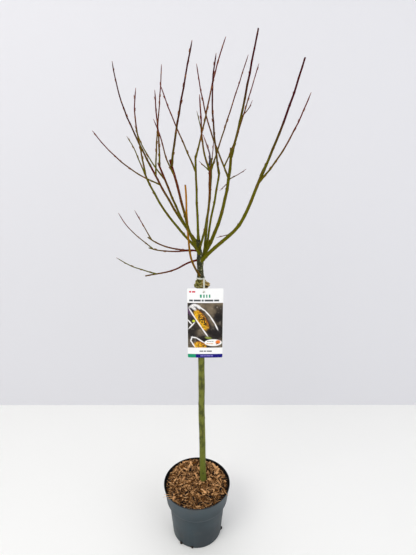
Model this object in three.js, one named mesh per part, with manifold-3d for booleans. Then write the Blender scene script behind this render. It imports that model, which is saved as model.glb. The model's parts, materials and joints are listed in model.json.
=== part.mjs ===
// Potted willow standard: a young willow crown grafted on a bare stem, standing in a nursery pot
// topped with bark mulch, with a picture label strapped on below the crown.
// Millimetres, +Z up. The origin is the centre of the pot's underside, on the surface it stands on.
// -Y is the front, where the label hangs. The crown is bare, as it is in winter.
import * as THREE from "three";
import { mergeVertices } from "three/addons/utils/BufferGeometryUtils.js";
import Module from "manifold-3d";

const wasm = await Module();
wasm.setup();

// ---- driving dimensions -------------------------------------------------------------------------

const GAP = 0.3; // clearance between pieces that touch

const POT_HEIGHT = 170;
const POT_RIM_RADIUS = 95;
const POT_SHOULDER_RADIUS = 87.5;
const POT_SHOULDER_HEIGHT = 116; // the flared top band starts here
const POT_WAIST_RADIUS = 80;
const POT_WAIST_HEIGHT = 110; // the narrower lower body ends here
const POT_BASE_RADIUS = 71;
const POT_WALL = 1.6;
const POT_FACETS = 40; // round the pot and what fills it
const POT_FLOOR = 2;
const POT_PAD_RADIUS = 27; // flat pad in the middle of the underside
const POT_RECESS = 3; // how far the drained ring of the floor is raised
const POT_FOOT_RADIUS = 64; // inner radius of the foot ring
const DRAIN_HOLES = 8;
const DRAIN_HOLE_RADIUS = 4.5;
const DRAIN_CIRCLE_RADIUS = 46;
const FOOT_NOTCH_GROUPS = 3;
const FOOT_NOTCH_HEADING = -115; // degrees, middle of the first pair
const FOOT_NOTCH_SPREAD = 13; // degrees to each side of the middle
const FOOT_NOTCH = { long: 18, wide: 12, high: 6.5 };

const COMPOST_TOP = 143;
const MULCH_TOP = 161.5;
const MULCH_UNEVEN = 2;
const MULCH_EDGE_DROP = 3.5; // how far the mulch sinks along the wall
const MULCH_HEAP = { x: -12, y: 76, high: 6, reach: 42 }; // heaped against the back of the wall
const MULCH_RADII = [88.6, 90.4, 82, 66, 50, 34, 17, 0]; // its foot, then its top from the edge inwards

const STEM_X = 12;
const STEM_Y = 11.6;
const STEM_FOOT = 60; // lower end, buried in the compost
const STEM_TOP = 757;
const STEM_RADII = [9, 8.2]; // lower and upper end
const CALLUS_TOP = 783;
const CALLUS_CORE_RADIUS = 10;
const OLD_WOOD_FOOT = CALLUS_TOP + GAP;
const OLD_WOOD_TOP = 880;

const CARD = { wide: 88, high: 187, thick: 0.6, corner: 3, x: 23, bottom: 578, back: -9.2 };
const CARD_SLOT = { wide: 6, high: 2.4, x: 20, z: 755 };
const STRAP_WIDE = 4;
const STRAP_THICK = 0.6;
const STRAP_LOOP_RADIUS = 9.4;
const STRAP_LOOP_FOOT = 783.8;

const MAIN_SIDES = 8; // facets round a limb
const TWIG_SIDES = 6; // facets round a thin side twig
const TWIG_RADIUS = 2.35; // a shoot that starts thinner than this counts as a twig
const RING_SPACING = 20; // length of limb between rings
const COLLAR_SWELL = 1.3; // how much a shoot swells where it leaves its parent
const COLLAR_LENGTH = 7;

// ---- solids -------------------------------------------------------------------------------------

// A closed three.js geometry as a manifold-3d solid.
function solidOf(geometry) {
  const bare = new THREE.BufferGeometry();
  const source = geometry.index ? geometry.toNonIndexed() : geometry;
  bare.setAttribute("position", source.getAttribute("position").clone());
  const merged = mergeVertices(bare, 1e-4);
  return new wasm.Manifold(
    new wasm.Mesh({
      numProp: 3,
      vertProperties: merged.getAttribute("position").array,
      triVerts: new Uint32Array(merged.index.array),
    }),
  );
}

// A manifold-3d solid as a three.js geometry.
function geometryOf(solid) {
  const mesh = solid.getMesh();
  const geometry = new THREE.BufferGeometry();
  geometry.setAttribute("position", new THREE.Float32BufferAttribute(mesh.vertProperties, 3));
  geometry.setIndex(Array.from(mesh.triVerts));
  geometry.computeVertexNormals();
  return geometry;
}

// The largest of the separate bodies that a cut leaves.
function largestOf(solid) {
  return solid.decompose().reduce((best, body) => (body.volume() > best.volume() ? body : best));
}

function moved(geometry, x, y, z) {
  return geometry.translate(x, y, z);
}

// A ring or disc turned about the Z axis from its outline of [radius, height] points.
function turned(outline, segments) {
  const points = outline.map(([radius, height]) => new THREE.Vector2(radius, height));
  points.push(points[0].clone());
  return new THREE.LatheGeometry(points, segments).rotateX(Math.PI / 2);
}

// A closed rod round a curve, with a single vertex at the middle of each end.
// radiusAt gives the radius at a distance along it, and dome is how far the far end rounds out.
function rod(curve, radiusAt, sides, steps, dome) {
  const length = curve.getLength();
  const frames = curve.computeFrenetFrames(steps, false);
  const start = curve.getPointAt(0);
  const end = curve.getPointAt(1).addScaledVector(frames.tangents[steps], dome);
  const positions = [...start.toArray(), ...end.toArray()];
  for (let ring = 0; ring <= steps; ring++) {
    const along = ring / steps;
    const centre = curve.getPointAt(along);
    const radius = radiusAt(along * length);
    for (let side = 0; side < sides; side++) {
      const angle = (side / sides) * 2 * Math.PI;
      const vertex = centre.clone();
      vertex.addScaledVector(frames.normals[ring], radius * Math.cos(angle));
      vertex.addScaledVector(frames.binormals[ring], radius * Math.sin(angle));
      positions.push(...vertex.toArray());
    }
  }
  const at = (ring, side) => 2 + ring * sides + (side % sides);
  const faces = [];
  for (let side = 0; side < sides; side++) {
    faces.push(0, at(0, side + 1), at(0, side));
    faces.push(1, at(steps, side), at(steps, side + 1));
    for (let ring = 0; ring < steps; ring++) {
      faces.push(at(ring, side), at(ring, side + 1), at(ring + 1, side));
      faces.push(at(ring, side + 1), at(ring + 1, side + 1), at(ring + 1, side));
    }
  }
  const geometry = new THREE.BufferGeometry();
  geometry.setAttribute("position", new THREE.Float32BufferAttribute(positions, 3));
  geometry.setIndex(faces);
  geometry.computeVertexNormals();
  return geometry;
}

// ---- materials ----------------------------------------------------------------------------------

function material(colour, roughness) {
  return new THREE.MeshStandardMaterial({ color: colour, roughness, metalness: 0 });
}

const potPlastic = material(0x4a565d, 0.55);
const compostSoil = material(0x2b2019, 0.95);
const barkChips = material(0x8f5c31, 0.9);
const stemBark = material(0x6b7035, 0.6);
const callusWood = material(0xa08a4c, 0.8);
const oldBark = material(0x5c6449, 0.7);
const oliveBark = material(0x6b6a21, 0.5);
const redBark = material(0x6a3a2c, 0.45);
const maroonBark = material(0x54202a, 0.4);
const ochreBark = material(0xa5722a, 0.5);
const deadBark = material(0x3a3b48, 0.8);
const cardStock = material(0xf2f2ef, 0.3);
const strapPlastic = material(0xe9e9e4, 0.35);

// ---- assembly -----------------------------------------------------------------------------------

const plant = new THREE.Group();

function add(name, geometry, finish) {
  const mesh = new THREE.Mesh(geometry, finish);
  mesh.name = name;
  plant.add(mesh);
  return mesh;
}

// ---- pot, compost and mulch ---------------------------------------------------------------------

// The floor's outline from the middle outwards: a pad, a raised drained ring and a foot ring.
function floorOutline(height) {
  return [
    [0, height],
    [POT_PAD_RADIUS, height],
    [POT_PAD_RADIUS + 4, height + POT_RECESS],
    [POT_FOOT_RADIUS - 3, height + POT_RECESS],
    [POT_FOOT_RADIUS, height],
  ];
}

// The wall's outline from the foot to the rim, moved in by inset.
function wallOutline(inset, foot, rim) {
  return [
    [POT_BASE_RADIUS - inset, foot],
    [POT_WAIST_RADIUS - inset, POT_WAIST_HEIGHT],
    [POT_SHOULDER_RADIUS - inset, POT_SHOULDER_HEIGHT],
    [POT_RIM_RADIUS - inset, rim],
  ];
}

function makePot() {
  const inside = wallOutline(POT_WALL, POT_FLOOR, POT_HEIGHT).reverse();
  const shell = turned(
    [...floorOutline(0), ...wallOutline(0, 0, POT_HEIGHT), ...inside, ...floorOutline(POT_FLOOR).reverse()],
    POT_FACETS,
  );
  let pot = solidOf(shell);
  for (let hole = 0; hole < DRAIN_HOLES; hole++) {
    const drill = new THREE.CylinderGeometry(DRAIN_HOLE_RADIUS, DRAIN_HOLE_RADIUS, 30, 12);
    drill.rotateX(Math.PI / 2);
    drill.translate(DRAIN_CIRCLE_RADIUS, 0, 0);
    drill.rotateZ((hole / DRAIN_HOLES) * 2 * Math.PI);
    pot = pot.subtract(solidOf(drill));
  }
  for (let group = 0; group < FOOT_NOTCH_GROUPS; group++) {
    for (const side of [-1, 1]) {
      const heading = FOOT_NOTCH_HEADING + (360 / FOOT_NOTCH_GROUPS) * group + side * FOOT_NOTCH_SPREAD;
      const notch = new THREE.BoxGeometry(FOOT_NOTCH.long, FOOT_NOTCH.wide, 2 * FOOT_NOTCH.high);
      notch.translate(POT_BASE_RADIUS - 2, 0, 0);
      notch.rotateZ(THREE.MathUtils.degToRad(heading));
      pot = pot.subtract(solidOf(notch));
    }
  }
  return geometryOf(pot);
}

// Everything inside the pot's wall from its floor up, a clearance away from both.
function potFilling(top) {
  const wall = wallOutline(POT_WALL + GAP, POT_FLOOR + GAP, POT_HEIGHT);
  const below = wall.filter(([, height]) => height < top);
  const [lowRadius, lowHeight] = below[below.length - 1];
  const [highRadius, highHeight] = wall[below.length];
  const share = (top - lowHeight) / (highHeight - lowHeight);
  const radius = lowRadius + share * (highRadius - lowRadius);
  return solidOf(turned([...floorOutline(POT_FLOOR + GAP), ...below, [radius, top], [0, top]], POT_FACETS));
}

// The mulch's top rises and dips by MULCH_UNEVEN over a hand's width, sinks along the wall, and is
// heaped up at the back.
function mulchSurface(x, y) {
  const wave = Math.sin(x / 17 + 0.6) * Math.cos(y / 21) + Math.sin((x - 2 * y) / 31);
  const edge = MULCH_EDGE_DROP * (Math.hypot(x, y) / MULCH_RADII[1]) ** 12;
  const { x: heapX, y: heapY, high, reach } = MULCH_HEAP;
  const heap = high * Math.exp(-((Math.hypot(x - heapX, y - heapY) / reach) ** 2));
  return MULCH_TOP + (MULCH_UNEVEN / 2) * wave - edge + heap;
}

function makeMulch(stemSocket) {
  const foot = COMPOST_TOP + GAP;
  const outline = [
    [0, foot],
    [MULCH_RADII[0], foot],
  ];
  for (const radius of MULCH_RADII.slice(1)) outline.push([radius, MULCH_TOP]);
  const disc = turned(outline, POT_FACETS);
  const position = disc.getAttribute("position");
  for (let i = 0; i < position.count; i++) {
    if (position.getZ(i) > foot + 1) {
      position.setZ(i, mulchSurface(position.getX(i), position.getY(i)));
    }
  }
  return geometryOf(solidOf(disc).subtract(stemSocket));
}

// ---- stem, graft and old wood -------------------------------------------------------------------

// The bare stem leans and wanders a few millimetres on its way up.
const stemLine = new THREE.CatmullRomCurve3([
  new THREE.Vector3(18.5, STEM_Y + 4, STEM_FOOT),
  new THREE.Vector3(18, STEM_Y + 3.6, 156),
  new THREE.Vector3(15.8, STEM_Y + 2, 271),
  new THREE.Vector3(13.8, STEM_Y + 0.6, 405),
  new THREE.Vector3(13.2, STEM_Y, 559),
  new THREE.Vector3(STEM_X, STEM_Y, STEM_TOP),
]);

function stemRod(extra) {
  const length = stemLine.getLength();
  const radiusAt = (s) => THREE.MathUtils.lerp(...STEM_RADII, s / length) + extra;
  return rod(stemLine, radiusAt, 16, 18, 0);
}

// Callus knobs round the graft: heading in degrees, distance from the axis, height and radius.
const CALLUS_KNOBS = [
  [-35, 15, 770, 9],
  [5, 14, 767, 8],
  [50, 11, 773, 7],
  [100, 10, 766, 7.5],
  [145, 9.5, 772, 6.5],
  [185, 10, 766, 7],
  [225, 10.5, 772, 6.5],
  [262, 10, 766, 7],
  [292, 9.5, 773, 6],
];

function makeCallus() {
  const high = STEM_TOP + GAP;
  const core = new THREE.CylinderGeometry(CALLUS_CORE_RADIUS - 1, CALLUS_CORE_RADIUS, CALLUS_TOP - high, 14);
  core.rotateX(Math.PI / 2);
  let callus = solidOf(moved(core, STEM_X, STEM_Y, (CALLUS_TOP + high) / 2));
  for (const [heading, out, height, radius] of CALLUS_KNOBS) {
    const angle = THREE.MathUtils.degToRad(heading);
    const knob = new THREE.IcosahedronGeometry(radius, 1);
    const x = STEM_X + out * Math.cos(angle);
    const y = STEM_Y + out * Math.sin(angle);
    callus = callus.add(solidOf(moved(knob, x, y, height)));
  }
  return geometryOf(callus);
}

// The old wood is the grafted crown's own short trunk, cut off at the top years ago.
const oldWoodLine = new THREE.CatmullRomCurve3([
  new THREE.Vector3(STEM_X - 0.4, STEM_Y, OLD_WOOD_FOOT),
  new THREE.Vector3(STEM_X - 1.2, STEM_Y, 805),
  new THREE.Vector3(STEM_X - 2, STEM_Y, 830),
  new THREE.Vector3(STEM_X - 3.6, STEM_Y, 856),
  new THREE.Vector3(STEM_X - 6, STEM_Y, OLD_WOOD_TOP),
]);

function oldWoodRadius(s) {
  const taper = THREE.MathUtils.lerp(8.2, 4.8, s / oldWoodLine.getLength());
  return taper + 0.9 * Math.exp(-(((s - 46) / 14) ** 2));
}

// ---- crown --------------------------------------------------------------------------------------

// A shoot is told as a grower would: where it leaves its parent, which way it heads seen from above
// (degrees anticlockwise from +X), how far it leans from upright at even steps along it (degrees), how
// long it is, its radius at both ends, whether it was cut or ends in a tip, and its own side shoots.
// A limb leaves the old wood at a height, a side shoot leaves its parent at a share of its length.
function shoot(name, at, headings, leans, length, radii, end, bark, side = []) {
  return { name, at, headings, leans, length, radii, end, bark, side };
}

const CROWN = [
  shoot("right_limb", 824, [-20, -10], [40, 50, 20, 20], 265, [4.6, 3.2], "cut", oliveBark, [
    shoot("right_limb_leader", 0.95, [15], [25, 20, 15], 250, [3.0, 1.9], "cut", maroonBark),
    shoot("right_limb_twig", 0.9, [-35], [45, 30, 20], 200, [2.2, 1.1], "tip", redBark),
    shoot("right_limb_spur", 0.4, [160], [105, 110], 35, [1.1, 0.7], "tip", redBark),
  ]),
  shoot("tall_limb", 828, [55, 35], [55, 20, 0], 295, [4.8, 3.4], "cut", oliveBark, [
    shoot("tall_limb_leader", 0.92, [-5], [15, 10, 10], 280, [3.2, 1.9], "cut", maroonBark, [
      shoot("tall_limb_leader_spur", 0.35, [-50], [75, 25], 45, [1.3, 0.8], "tip", redBark),
    ]),
    shoot("tall_limb_left_twig", 0.75, [205], [25, 25, 15, 10], 260, [2.2, 1.1], "tip", redBark, [
      shoot("tall_limb_right_twig", 0.12, [-40], [30, 20, 20], 230, [1.8, 1.0], "tip", redBark),
    ]),
    shoot("tall_limb_spur", 0.75, [-60], [75, 65], 75, [1.2, 0.7], "tip", redBark),
    shoot("tall_limb_short_spur", 0.72, [215], [125], 30, [1.1, 0.7], "tip", redBark),
    shoot("back_limb", 0.08, [80], [20, 40, -10], 245, [3.0, 2.2], "cut", oliveBark, [
      shoot("back_limb_twig", 0.88, [25], [20, 20, 20], 280, [2.0, 1.1], "tip", redBark),
      shoot("back_limb_spur", 0.92, [60], [15, 5], 60, [1.4, 0.9], "tip", redBark),
    ]),
    shoot("inner_limb", 0.12, [-60], [10, 20, 15], 195, [2.8, 2.2], "cut", oliveBark, [
      shoot("inner_limb_twig", 0.97, [-160], [10, 5, -10], 235, [2.2, 1.3], "tip", maroonBark),
    ]),
  ]),
  shoot("middle_limb", 872, [105], [10, 5], 200, [3.0, 2.3], "cut", oliveBark, [
    shoot("middle_limb_right_twig", 0.97, [40], [20, 15, 25], 270, [2.1, 1.2], "tip", redBark),
    shoot("middle_limb_left_twig", 0.82, [165], [25, 25, 20], 200, [1.9, 1.1], "tip", redBark),
  ]),
  shoot("front_limb", 858, [-75], [50, 30, -15], 225, [2.9, 2.2], "cut", oliveBark, [
    shoot("front_limb_twig", 0.97, [-130], [35, 5, 5], 140, [2.0, 1.2], "tip", redBark, [
      shoot("front_limb_twig_spur", 0.55, [200], [15, 15], 35, [1.1, 0.7], "tip", oliveBark),
    ]),
    shoot("front_limb_dead_end", 1, [150], [-15, 20, 25], 60, [1.9, 1.1], "tip", deadBark),
    shoot("front_limb_spur", 0.96, [190], [55, 45], 25, [1.1, 0.8], "tip", oliveBark),
  ]),
  shoot("left_limb", 850, [200, 190], [40, 40, 30, 20], 225, [3.1, 2.1], "cut", oliveBark, [
    shoot("left_limb_inner_twig", 0.97, [215], [10, 10, -10], 170, [1.9, 1.1], "tip", redBark),
    shoot("left_limb_outer_twig", 0.97, [150], [30, 25, 40], 90, [1.5, 0.9], "tip", oliveBark),
  ]),
  shoot("back_left_limb", 868, [150, 155], [45, 35, 30], 220, [3.4, 2.3], "cut", oliveBark, [
    shoot("back_left_limb_inner_twig", 0.88, [70], [5, 15, 10], 250, [1.9, 1.1], "tip", redBark),
    shoot("back_left_limb_side_twig", 0.78, [190], [70, 50, 35], 190, [1.8, 1.1], "tip", redBark),
    shoot("back_left_limb_long_twig", 0.95, [160], [30, 25, 5], 255, [2.3, 1.2], "tip", maroonBark),
    shoot("inner_left_limb", 0.18, [225, 245], [35, 30, 35], 190, [2.8, 2.1], "cut", oliveBark, [
      shoot("inner_left_limb_outer_twig", 0.78, [185], [40, 30, 15], 120, [1.7, 1.0], "tip", oliveBark),
      shoot("inner_left_limb_upright_twig", 0.97, [250], [-10, 10, 5], 140, [1.9, 1.1], "tip", redBark),
    ]),
  ]),
  shoot("front_left_limb", 846, [250, 225], [50, 20, 20], 250, [3.2, 2.4], "cut", oliveBark, [
    shoot("front_left_limb_leader", 0.95, [-35], [10, 15, 15], 220, [2.3, 1.3], "tip", maroonBark),
    shoot("front_left_limb_twig", 0.88, [225], [40, 15, 30], 110, [1.6, 1.0], "tip", redBark),
  ]),
  shoot("low_limb", 855, [200, 190], [90, 75, 50], 130, [2.2, 1.5], "cut", redBark, [
    shoot("low_limb_twig", 0.92, [150], [35, 35, 35], 75, [1.4, 0.9], "tip", redBark),
    shoot("low_limb_fork", 0.18, [170, 180], [100, 90, 70], 100, [2.0, 1.4], "cut", redBark, [
      shoot("low_limb_fork_twig", 0.88, [195], [50, 45, 25], 115, [1.4, 0.9], "tip", redBark),
    ]),
  ]),
  shoot("drooping_limb", 829, [165, 185], [95, 125, 100, 100], 145, [2.4, 1.7], "cut", redBark, [
    shoot("drooping_limb_twig", 0.8, [200], [70, 65, 50], 105, [1.6, 1.0], "tip", oliveBark),
  ]),
  shoot("ochre_cane", 788, [250, 215, 180], [50, 35, 5, 5, 0, 5], 240, [2.6, 2.0], "cut", ochreBark),
];

// A value that changes evenly from one list entry to the next, at a share from 0 to 1.
function along(list, share) {
  const place = share * (list.length - 1);
  const index = Math.min(Math.floor(place), list.length - 2);
  return list.length === 1 ? list[0] : THREE.MathUtils.lerp(list[index], list[index + 1], place - index);
}

// The line a shoot grows along, from where it starts.
function growthLine(start, { headings, leans, length }) {
  const steps = 24;
  const points = [start.clone()];
  for (let step = 0; step < steps; step++) {
    const share = (step + 0.5) / steps;
    const lean = THREE.MathUtils.degToRad(along(leans, share));
    const heading = THREE.MathUtils.degToRad(along(headings, share));
    const direction = new THREE.Vector3(
      Math.sin(lean) * Math.cos(heading),
      Math.sin(lean) * Math.sin(heading),
      Math.cos(lean),
    );
    points.push(points[step].clone().addScaledVector(direction, length / steps));
  }
  return new THREE.CatmullRomCurve3(points);
}

const grown = []; // each finished limb's solid, swollen by the clearance, to cut the next ones with

function heightOnOldWood(height) {
  const share = (height - OLD_WOOD_FOOT) / (OLD_WOOD_TOP - OLD_WOOD_FOOT);
  return { point: oldWoodLine.getPointAt(share), radius: oldWoodRadius(share * oldWoodLine.getLength()) };
}

function grow(plan, start, parentRadius) {
  const line = growthLine(start, plan);
  const [thick, thin] = plan.radii;
  const swell = Math.min(thick * COLLAR_SWELL, parentRadius * 0.9) - thick;
  const radiusAt = (s) =>
    THREE.MathUtils.lerp(thick, thin, s / plan.length) + Math.max(swell, 0) * Math.exp(-s / COLLAR_LENGTH);
  const sides = thick > TWIG_RADIUS ? MAIN_SIDES : TWIG_SIDES;
  const steps = Math.max(3, Math.round(plan.length / RING_SPACING));
  const dome = plan.end === "cut" ? 0.2 : 2.5;
  let body = solidOf(rod(line, radiusAt, sides, steps, dome));
  for (const other of grown) body = body.subtract(other);
  add(plan.name, geometryOf(largestOf(body)), plan.bark);
  grown.push(solidOf(rod(line, (s) => radiusAt(s) + GAP, sides, steps, dome + GAP)));
  for (const next of plan.side) {
    grow(next, line.getPointAt(next.at), radiusAt(next.at * plan.length));
  }
}

// ---- label --------------------------------------------------------------------------------------

function makeCard() {
  const { wide, high, thick, corner, x, bottom, back } = CARD;
  const outline = new THREE.Shape();
  outline.absarc(wide / 2 - corner, high - corner, corner, 0, Math.PI / 2);
  outline.absarc(corner - wide / 2, high - corner, corner, Math.PI / 2, Math.PI);
  outline.absarc(corner - wide / 2, corner, corner, Math.PI, 1.5 * Math.PI);
  outline.absarc(wide / 2 - corner, corner, corner, 1.5 * Math.PI, 2 * Math.PI);
  const left = CARD_SLOT.x - x - CARD_SLOT.wide / 2;
  const low = CARD_SLOT.z - bottom - CARD_SLOT.high / 2;
  const slot = new THREE.Path();
  slot.moveTo(left, low);
  slot.lineTo(left, low + CARD_SLOT.high);
  slot.lineTo(left + CARD_SLOT.wide, low + CARD_SLOT.high);
  slot.lineTo(left + CARD_SLOT.wide, low);
  slot.closePath();
  outline.holes.push(slot);
  const card = new THREE.ExtrudeGeometry(outline, { depth: thick, bevelEnabled: false, curveSegments: 4 });
  card.rotateX(Math.PI / 2);
  return moved(card, x, back, bottom);
}

// The strap loops round the old wood, comes down behind the card and hooks through its slot.
function makeStrap() {
  const loop = new THREE.Shape();
  loop.absarc(0, 0, STRAP_LOOP_RADIUS + STRAP_THICK, 0, 2 * Math.PI);
  const bore = new THREE.Path();
  bore.absarc(0, 0, STRAP_LOOP_RADIUS, 0, 2 * Math.PI, true);
  loop.holes.push(bore);
  const band = new THREE.ExtrudeGeometry(loop, { depth: STRAP_WIDE, bevelEnabled: false, curveSegments: 12 });
  const ring = solidOf(moved(band, STEM_X - 0.5, STEM_Y, STRAP_LOOP_FOOT));

  // Outline of the tongue, seen from the side: forward is -Y, up is +Z.
  const behind = CARD.back + GAP + 0.05;
  const front = CARD.back - CARD.thick;
  const top = STRAP_LOOP_FOOT + STRAP_WIDE - 0.6;
  const hook = CARD_SLOT.z;
  const outline = new THREE.Shape([
    new THREE.Vector2(5, top),
    new THREE.Vector2(-3.6, top - 1.2),
    new THREE.Vector2(behind, top - 12),
    new THREE.Vector2(behind, hook + STRAP_THICK / 2),
    new THREE.Vector2(front - 1.6, hook + STRAP_THICK / 2),
    new THREE.Vector2(front - 1.6, hook - STRAP_THICK / 2),
    new THREE.Vector2(behind + STRAP_THICK, hook - STRAP_THICK / 2),
    new THREE.Vector2(behind + STRAP_THICK, top - 12.4),
    new THREE.Vector2(-3.2, top - 1.9),
    new THREE.Vector2(5, top - 0.7),
  ]);
  const side = new THREE.ExtrudeGeometry(outline, { depth: STRAP_WIDE, bevelEnabled: false });
  side.applyMatrix4(new THREE.Matrix4().set(0, 0, 1, 0, 1, 0, 0, 0, 0, 1, 0, 0, 0, 0, 0, 1));
  const tongue = solidOf(moved(side, CARD_SLOT.x - STRAP_WIDE / 2, 0, 0));
  return geometryOf(ring.add(tongue));
}

// ---- build --------------------------------------------------------------------------------------

const stemSocket = solidOf(stemRod(GAP));
add("pot", makePot(), potPlastic);
add("compost", geometryOf(potFilling(COMPOST_TOP).subtract(stemSocket)), compostSoil);
add("bark_mulch", makeMulch(stemSocket), barkChips);
add("rootstock_stem", stemRod(0), stemBark);
add("graft_callus", makeCallus(), callusWood);
add("old_wood", rod(oldWoodLine, oldWoodRadius, 12, 9, 1), oldBark);
add("label_card", makeCard(), cardStock);
add("label_strap", makeStrap(), strapPlastic);

grown.push(solidOf(rod(oldWoodLine, (s) => oldWoodRadius(s) + GAP, 12, 9, 1 + GAP)));
for (const limb of CROWN) {
  const { point, radius } = heightOnOldWood(limb.at);
  grow(limb, point, radius);
}

export default plant;
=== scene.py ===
"""A young willow standard in a nursery pot: a bare crown grafted on a straight stem, with bark mulch
and a picture label. Everything is in metres, +Z up, and -Y is the front, where the label hangs."""

import json
import math

import bmesh
import bpy
import numpy as np
from mathutils import Matrix, Vector, noise
from mathutils.bvhtree import BVHTree


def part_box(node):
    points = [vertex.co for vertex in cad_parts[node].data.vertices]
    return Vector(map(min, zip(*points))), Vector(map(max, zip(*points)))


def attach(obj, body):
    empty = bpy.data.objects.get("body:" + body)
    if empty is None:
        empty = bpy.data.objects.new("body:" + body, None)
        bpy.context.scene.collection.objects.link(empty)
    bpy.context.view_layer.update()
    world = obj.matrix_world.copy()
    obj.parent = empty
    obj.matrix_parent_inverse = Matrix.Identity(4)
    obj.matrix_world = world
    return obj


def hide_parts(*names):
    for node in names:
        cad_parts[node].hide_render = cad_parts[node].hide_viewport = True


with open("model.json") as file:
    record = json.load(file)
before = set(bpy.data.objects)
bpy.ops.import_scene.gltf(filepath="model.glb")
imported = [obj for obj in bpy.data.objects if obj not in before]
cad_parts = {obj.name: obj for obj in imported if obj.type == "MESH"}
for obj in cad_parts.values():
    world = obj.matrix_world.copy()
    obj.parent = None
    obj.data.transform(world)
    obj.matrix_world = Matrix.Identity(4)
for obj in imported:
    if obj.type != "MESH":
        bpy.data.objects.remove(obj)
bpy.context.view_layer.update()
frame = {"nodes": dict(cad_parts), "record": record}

bl_info = {
    "name": "Potted Willow Standard",
    "version": (1, 0, 0),
    "blender": (4, 5, 0),
    "location": "View3D > Sidebar > Willow",
    "description": "Builds a grafted young willow in its nursery pot, with mulch, label and stage",
    "category": "Add Mesh",
}

MM = 0.001
FULL_TURN = 2 * math.pi
BODY = "root"
SLOT_OF = {part["node"]: part["material_slot"] for part in frame["record"]["subparts"]}
SEED = 4107
BUD_TURN = 144  # degrees round a shoot from one bud to the next


def paint(code):
    """A colour written as six hexadecimal digits, as linear red, green, blue and alpha."""
    shares = [int(code[i : i + 2], 16) / 255 for i in (0, 2, 4)]
    linear = [c / 12.92 if c <= 0.04045 else ((c + 0.055) / 1.055) ** 2.4 for c in shares]
    return (*linear, 1.0)


# ---- settings -----------------------------------------------------------------------------------


def number_setting(name, description, default, **kind):
    return bpy.props.FloatProperty(name=name, description=description, default=default, min=0, **kind)


def length_setting(name, description, default):
    return number_setting(name, description, default, unit="LENGTH")


def colour_setting(name, description, default):
    return bpy.props.FloatVectorProperty(
        name=name, description=description, default=paint(default), size=4, min=0, max=1, subtype="COLOR"
    )


def count_setting(name, description, default):
    return bpy.props.IntProperty(name=name, description=description, default=default, min=3)


class WillowPotSettings(bpy.types.PropertyGroup):
    """Sizes and colours of the pot."""

    segments: count_setting("Segments", "Straight sides round the pot", 144)
    lip: length_setting("Lip", "Height of the bead round the rim", 4 * MM)
    bead: length_setting("Bead", "How far the bead stands out from the wall", 0.9 * MM)
    outside: colour_setting("Outside", "Colour of the pot's outside", "2a3a41")
    # The inside colour also darkens the underside and the cut faces of the holes and notches, as painted
    # shade.
    inside: colour_setting("Inside", "Colour of the pot's inside and lip", "101214")


class WillowMulchSettings(bpy.types.PropertyGroup):
    """Amount, sizes and colours of the mulch."""

    chips: count_setting("Chips", "Number of bark chips", 2300)
    fibres: count_setting("Fibres", "Number of thin loose fibres", 1000)
    chip_length: length_setting("Chip length", "Length of a middling chip", 7 * MM)
    dark: colour_setting("Dark", "Colour of the damp chips", "120804")
    middle: colour_setting("Middle", "Colour of most chips", "694011")
    pale: colour_setting("Pale", "Colour of the driest chips and torn fibres", "e3ae76")


class WillowWoodSettings(bpy.types.PropertyGroup):
    """Detail and colours of the stem, the graft and the old wood."""

    sides: count_setting("Sides", "Points round the stem and the old wood", 32)
    scar_spacing: length_setting("Scar spacing", "Distance between bud scars up the stem", 62 * MM)
    stem: colour_setting("Stem", "Colour of the stem's bark", "6e7327")
    stem_dark: colour_setting("Stem mottle", "Colour of the darker mottling on the stem", "454a17")
    stem_foot: colour_setting("Stem foot", "Colour of the stem's bark near the soil", "667029")
    callus: colour_setting("Callus", "Colour of the dry callus", "b39552")
    callus_green: colour_setting("Fresh callus", "Colour of the callus that still grows", "7d7a2a")
    old: colour_setting("Old wood", "Colour of the old wood's bark", "454a20")
    old_pale: colour_setting("Lichen", "Colour of the pale patches on the old wood", "a7a182")


class WillowShootSettings(bpy.types.PropertyGroup):
    """Detail and colours of the crown's shoots."""

    sides: count_setting("Sides", "Points round a shoot", 12)
    step: length_setting("Step", "Distance between rings along a shoot", 2.6 * MM)
    bud_spacing: length_setting("Bud spacing", "Distance between buds along a shoot", 21 * MM)
    bud_length: length_setting("Bud length", "Length of a middling bud", 5.6 * MM)
    olive: colour_setting("Olive", "Colour of a limb's young bark", "5a5902")
    red: colour_setting("Red", "Colour of a shoot's ripe bark", "5a1110")
    maroon: colour_setting("Maroon", "Colour of the darkest shoots", "3f070f")
    ochre: colour_setting("Ochre", "Colour of the ochre cane", "a66f0a")
    dead: colour_setting("Dead", "Colour of the dead end", "34343f")


class WillowLabelSettings(bpy.types.PropertyGroup):
    """Shape and colours of the label and its strap."""

    bow: length_setting("Bow", "How far the card's edges curve back", 1.6 * MM)
    card: colour_setting("Card", "Colour of the card", "f6f6f5")
    leaf_green: colour_setting("Green", "Colour of the green print", "0b946a")
    ink_blue: colour_setting("Blue", "Colour of the foot band", "0a0076")
    catkin: colour_setting("Catkin", "Colour of the painted catkin", "f2b310")
    strap: colour_setting("Strap", "Colour of the plastic strap", "c6c7ba")


class WillowStageSettings(bpy.types.PropertyGroup):
    """The floor, the wall, the lights and the camera."""

    floor: colour_setting("Floor", "Colour of the floor", "f8f8f5")
    wall: colour_setting("Wall", "Colour of the wall behind", "dfdfe3")
    wall_distance: length_setting("Wall distance", "From the pot's middle back to the wall", 597 * MM)
    daylight: number_setting("Daylight", "Strength of the light all round", 0.82)
    lamp: number_setting("Lamp", "Power of the main lamp", 24, unit="POWER")
    lens: number_setting("Lens", "Focal length of the camera in millimetres", 26)


# ---- meshes -------------------------------------------------------------------------------------


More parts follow.
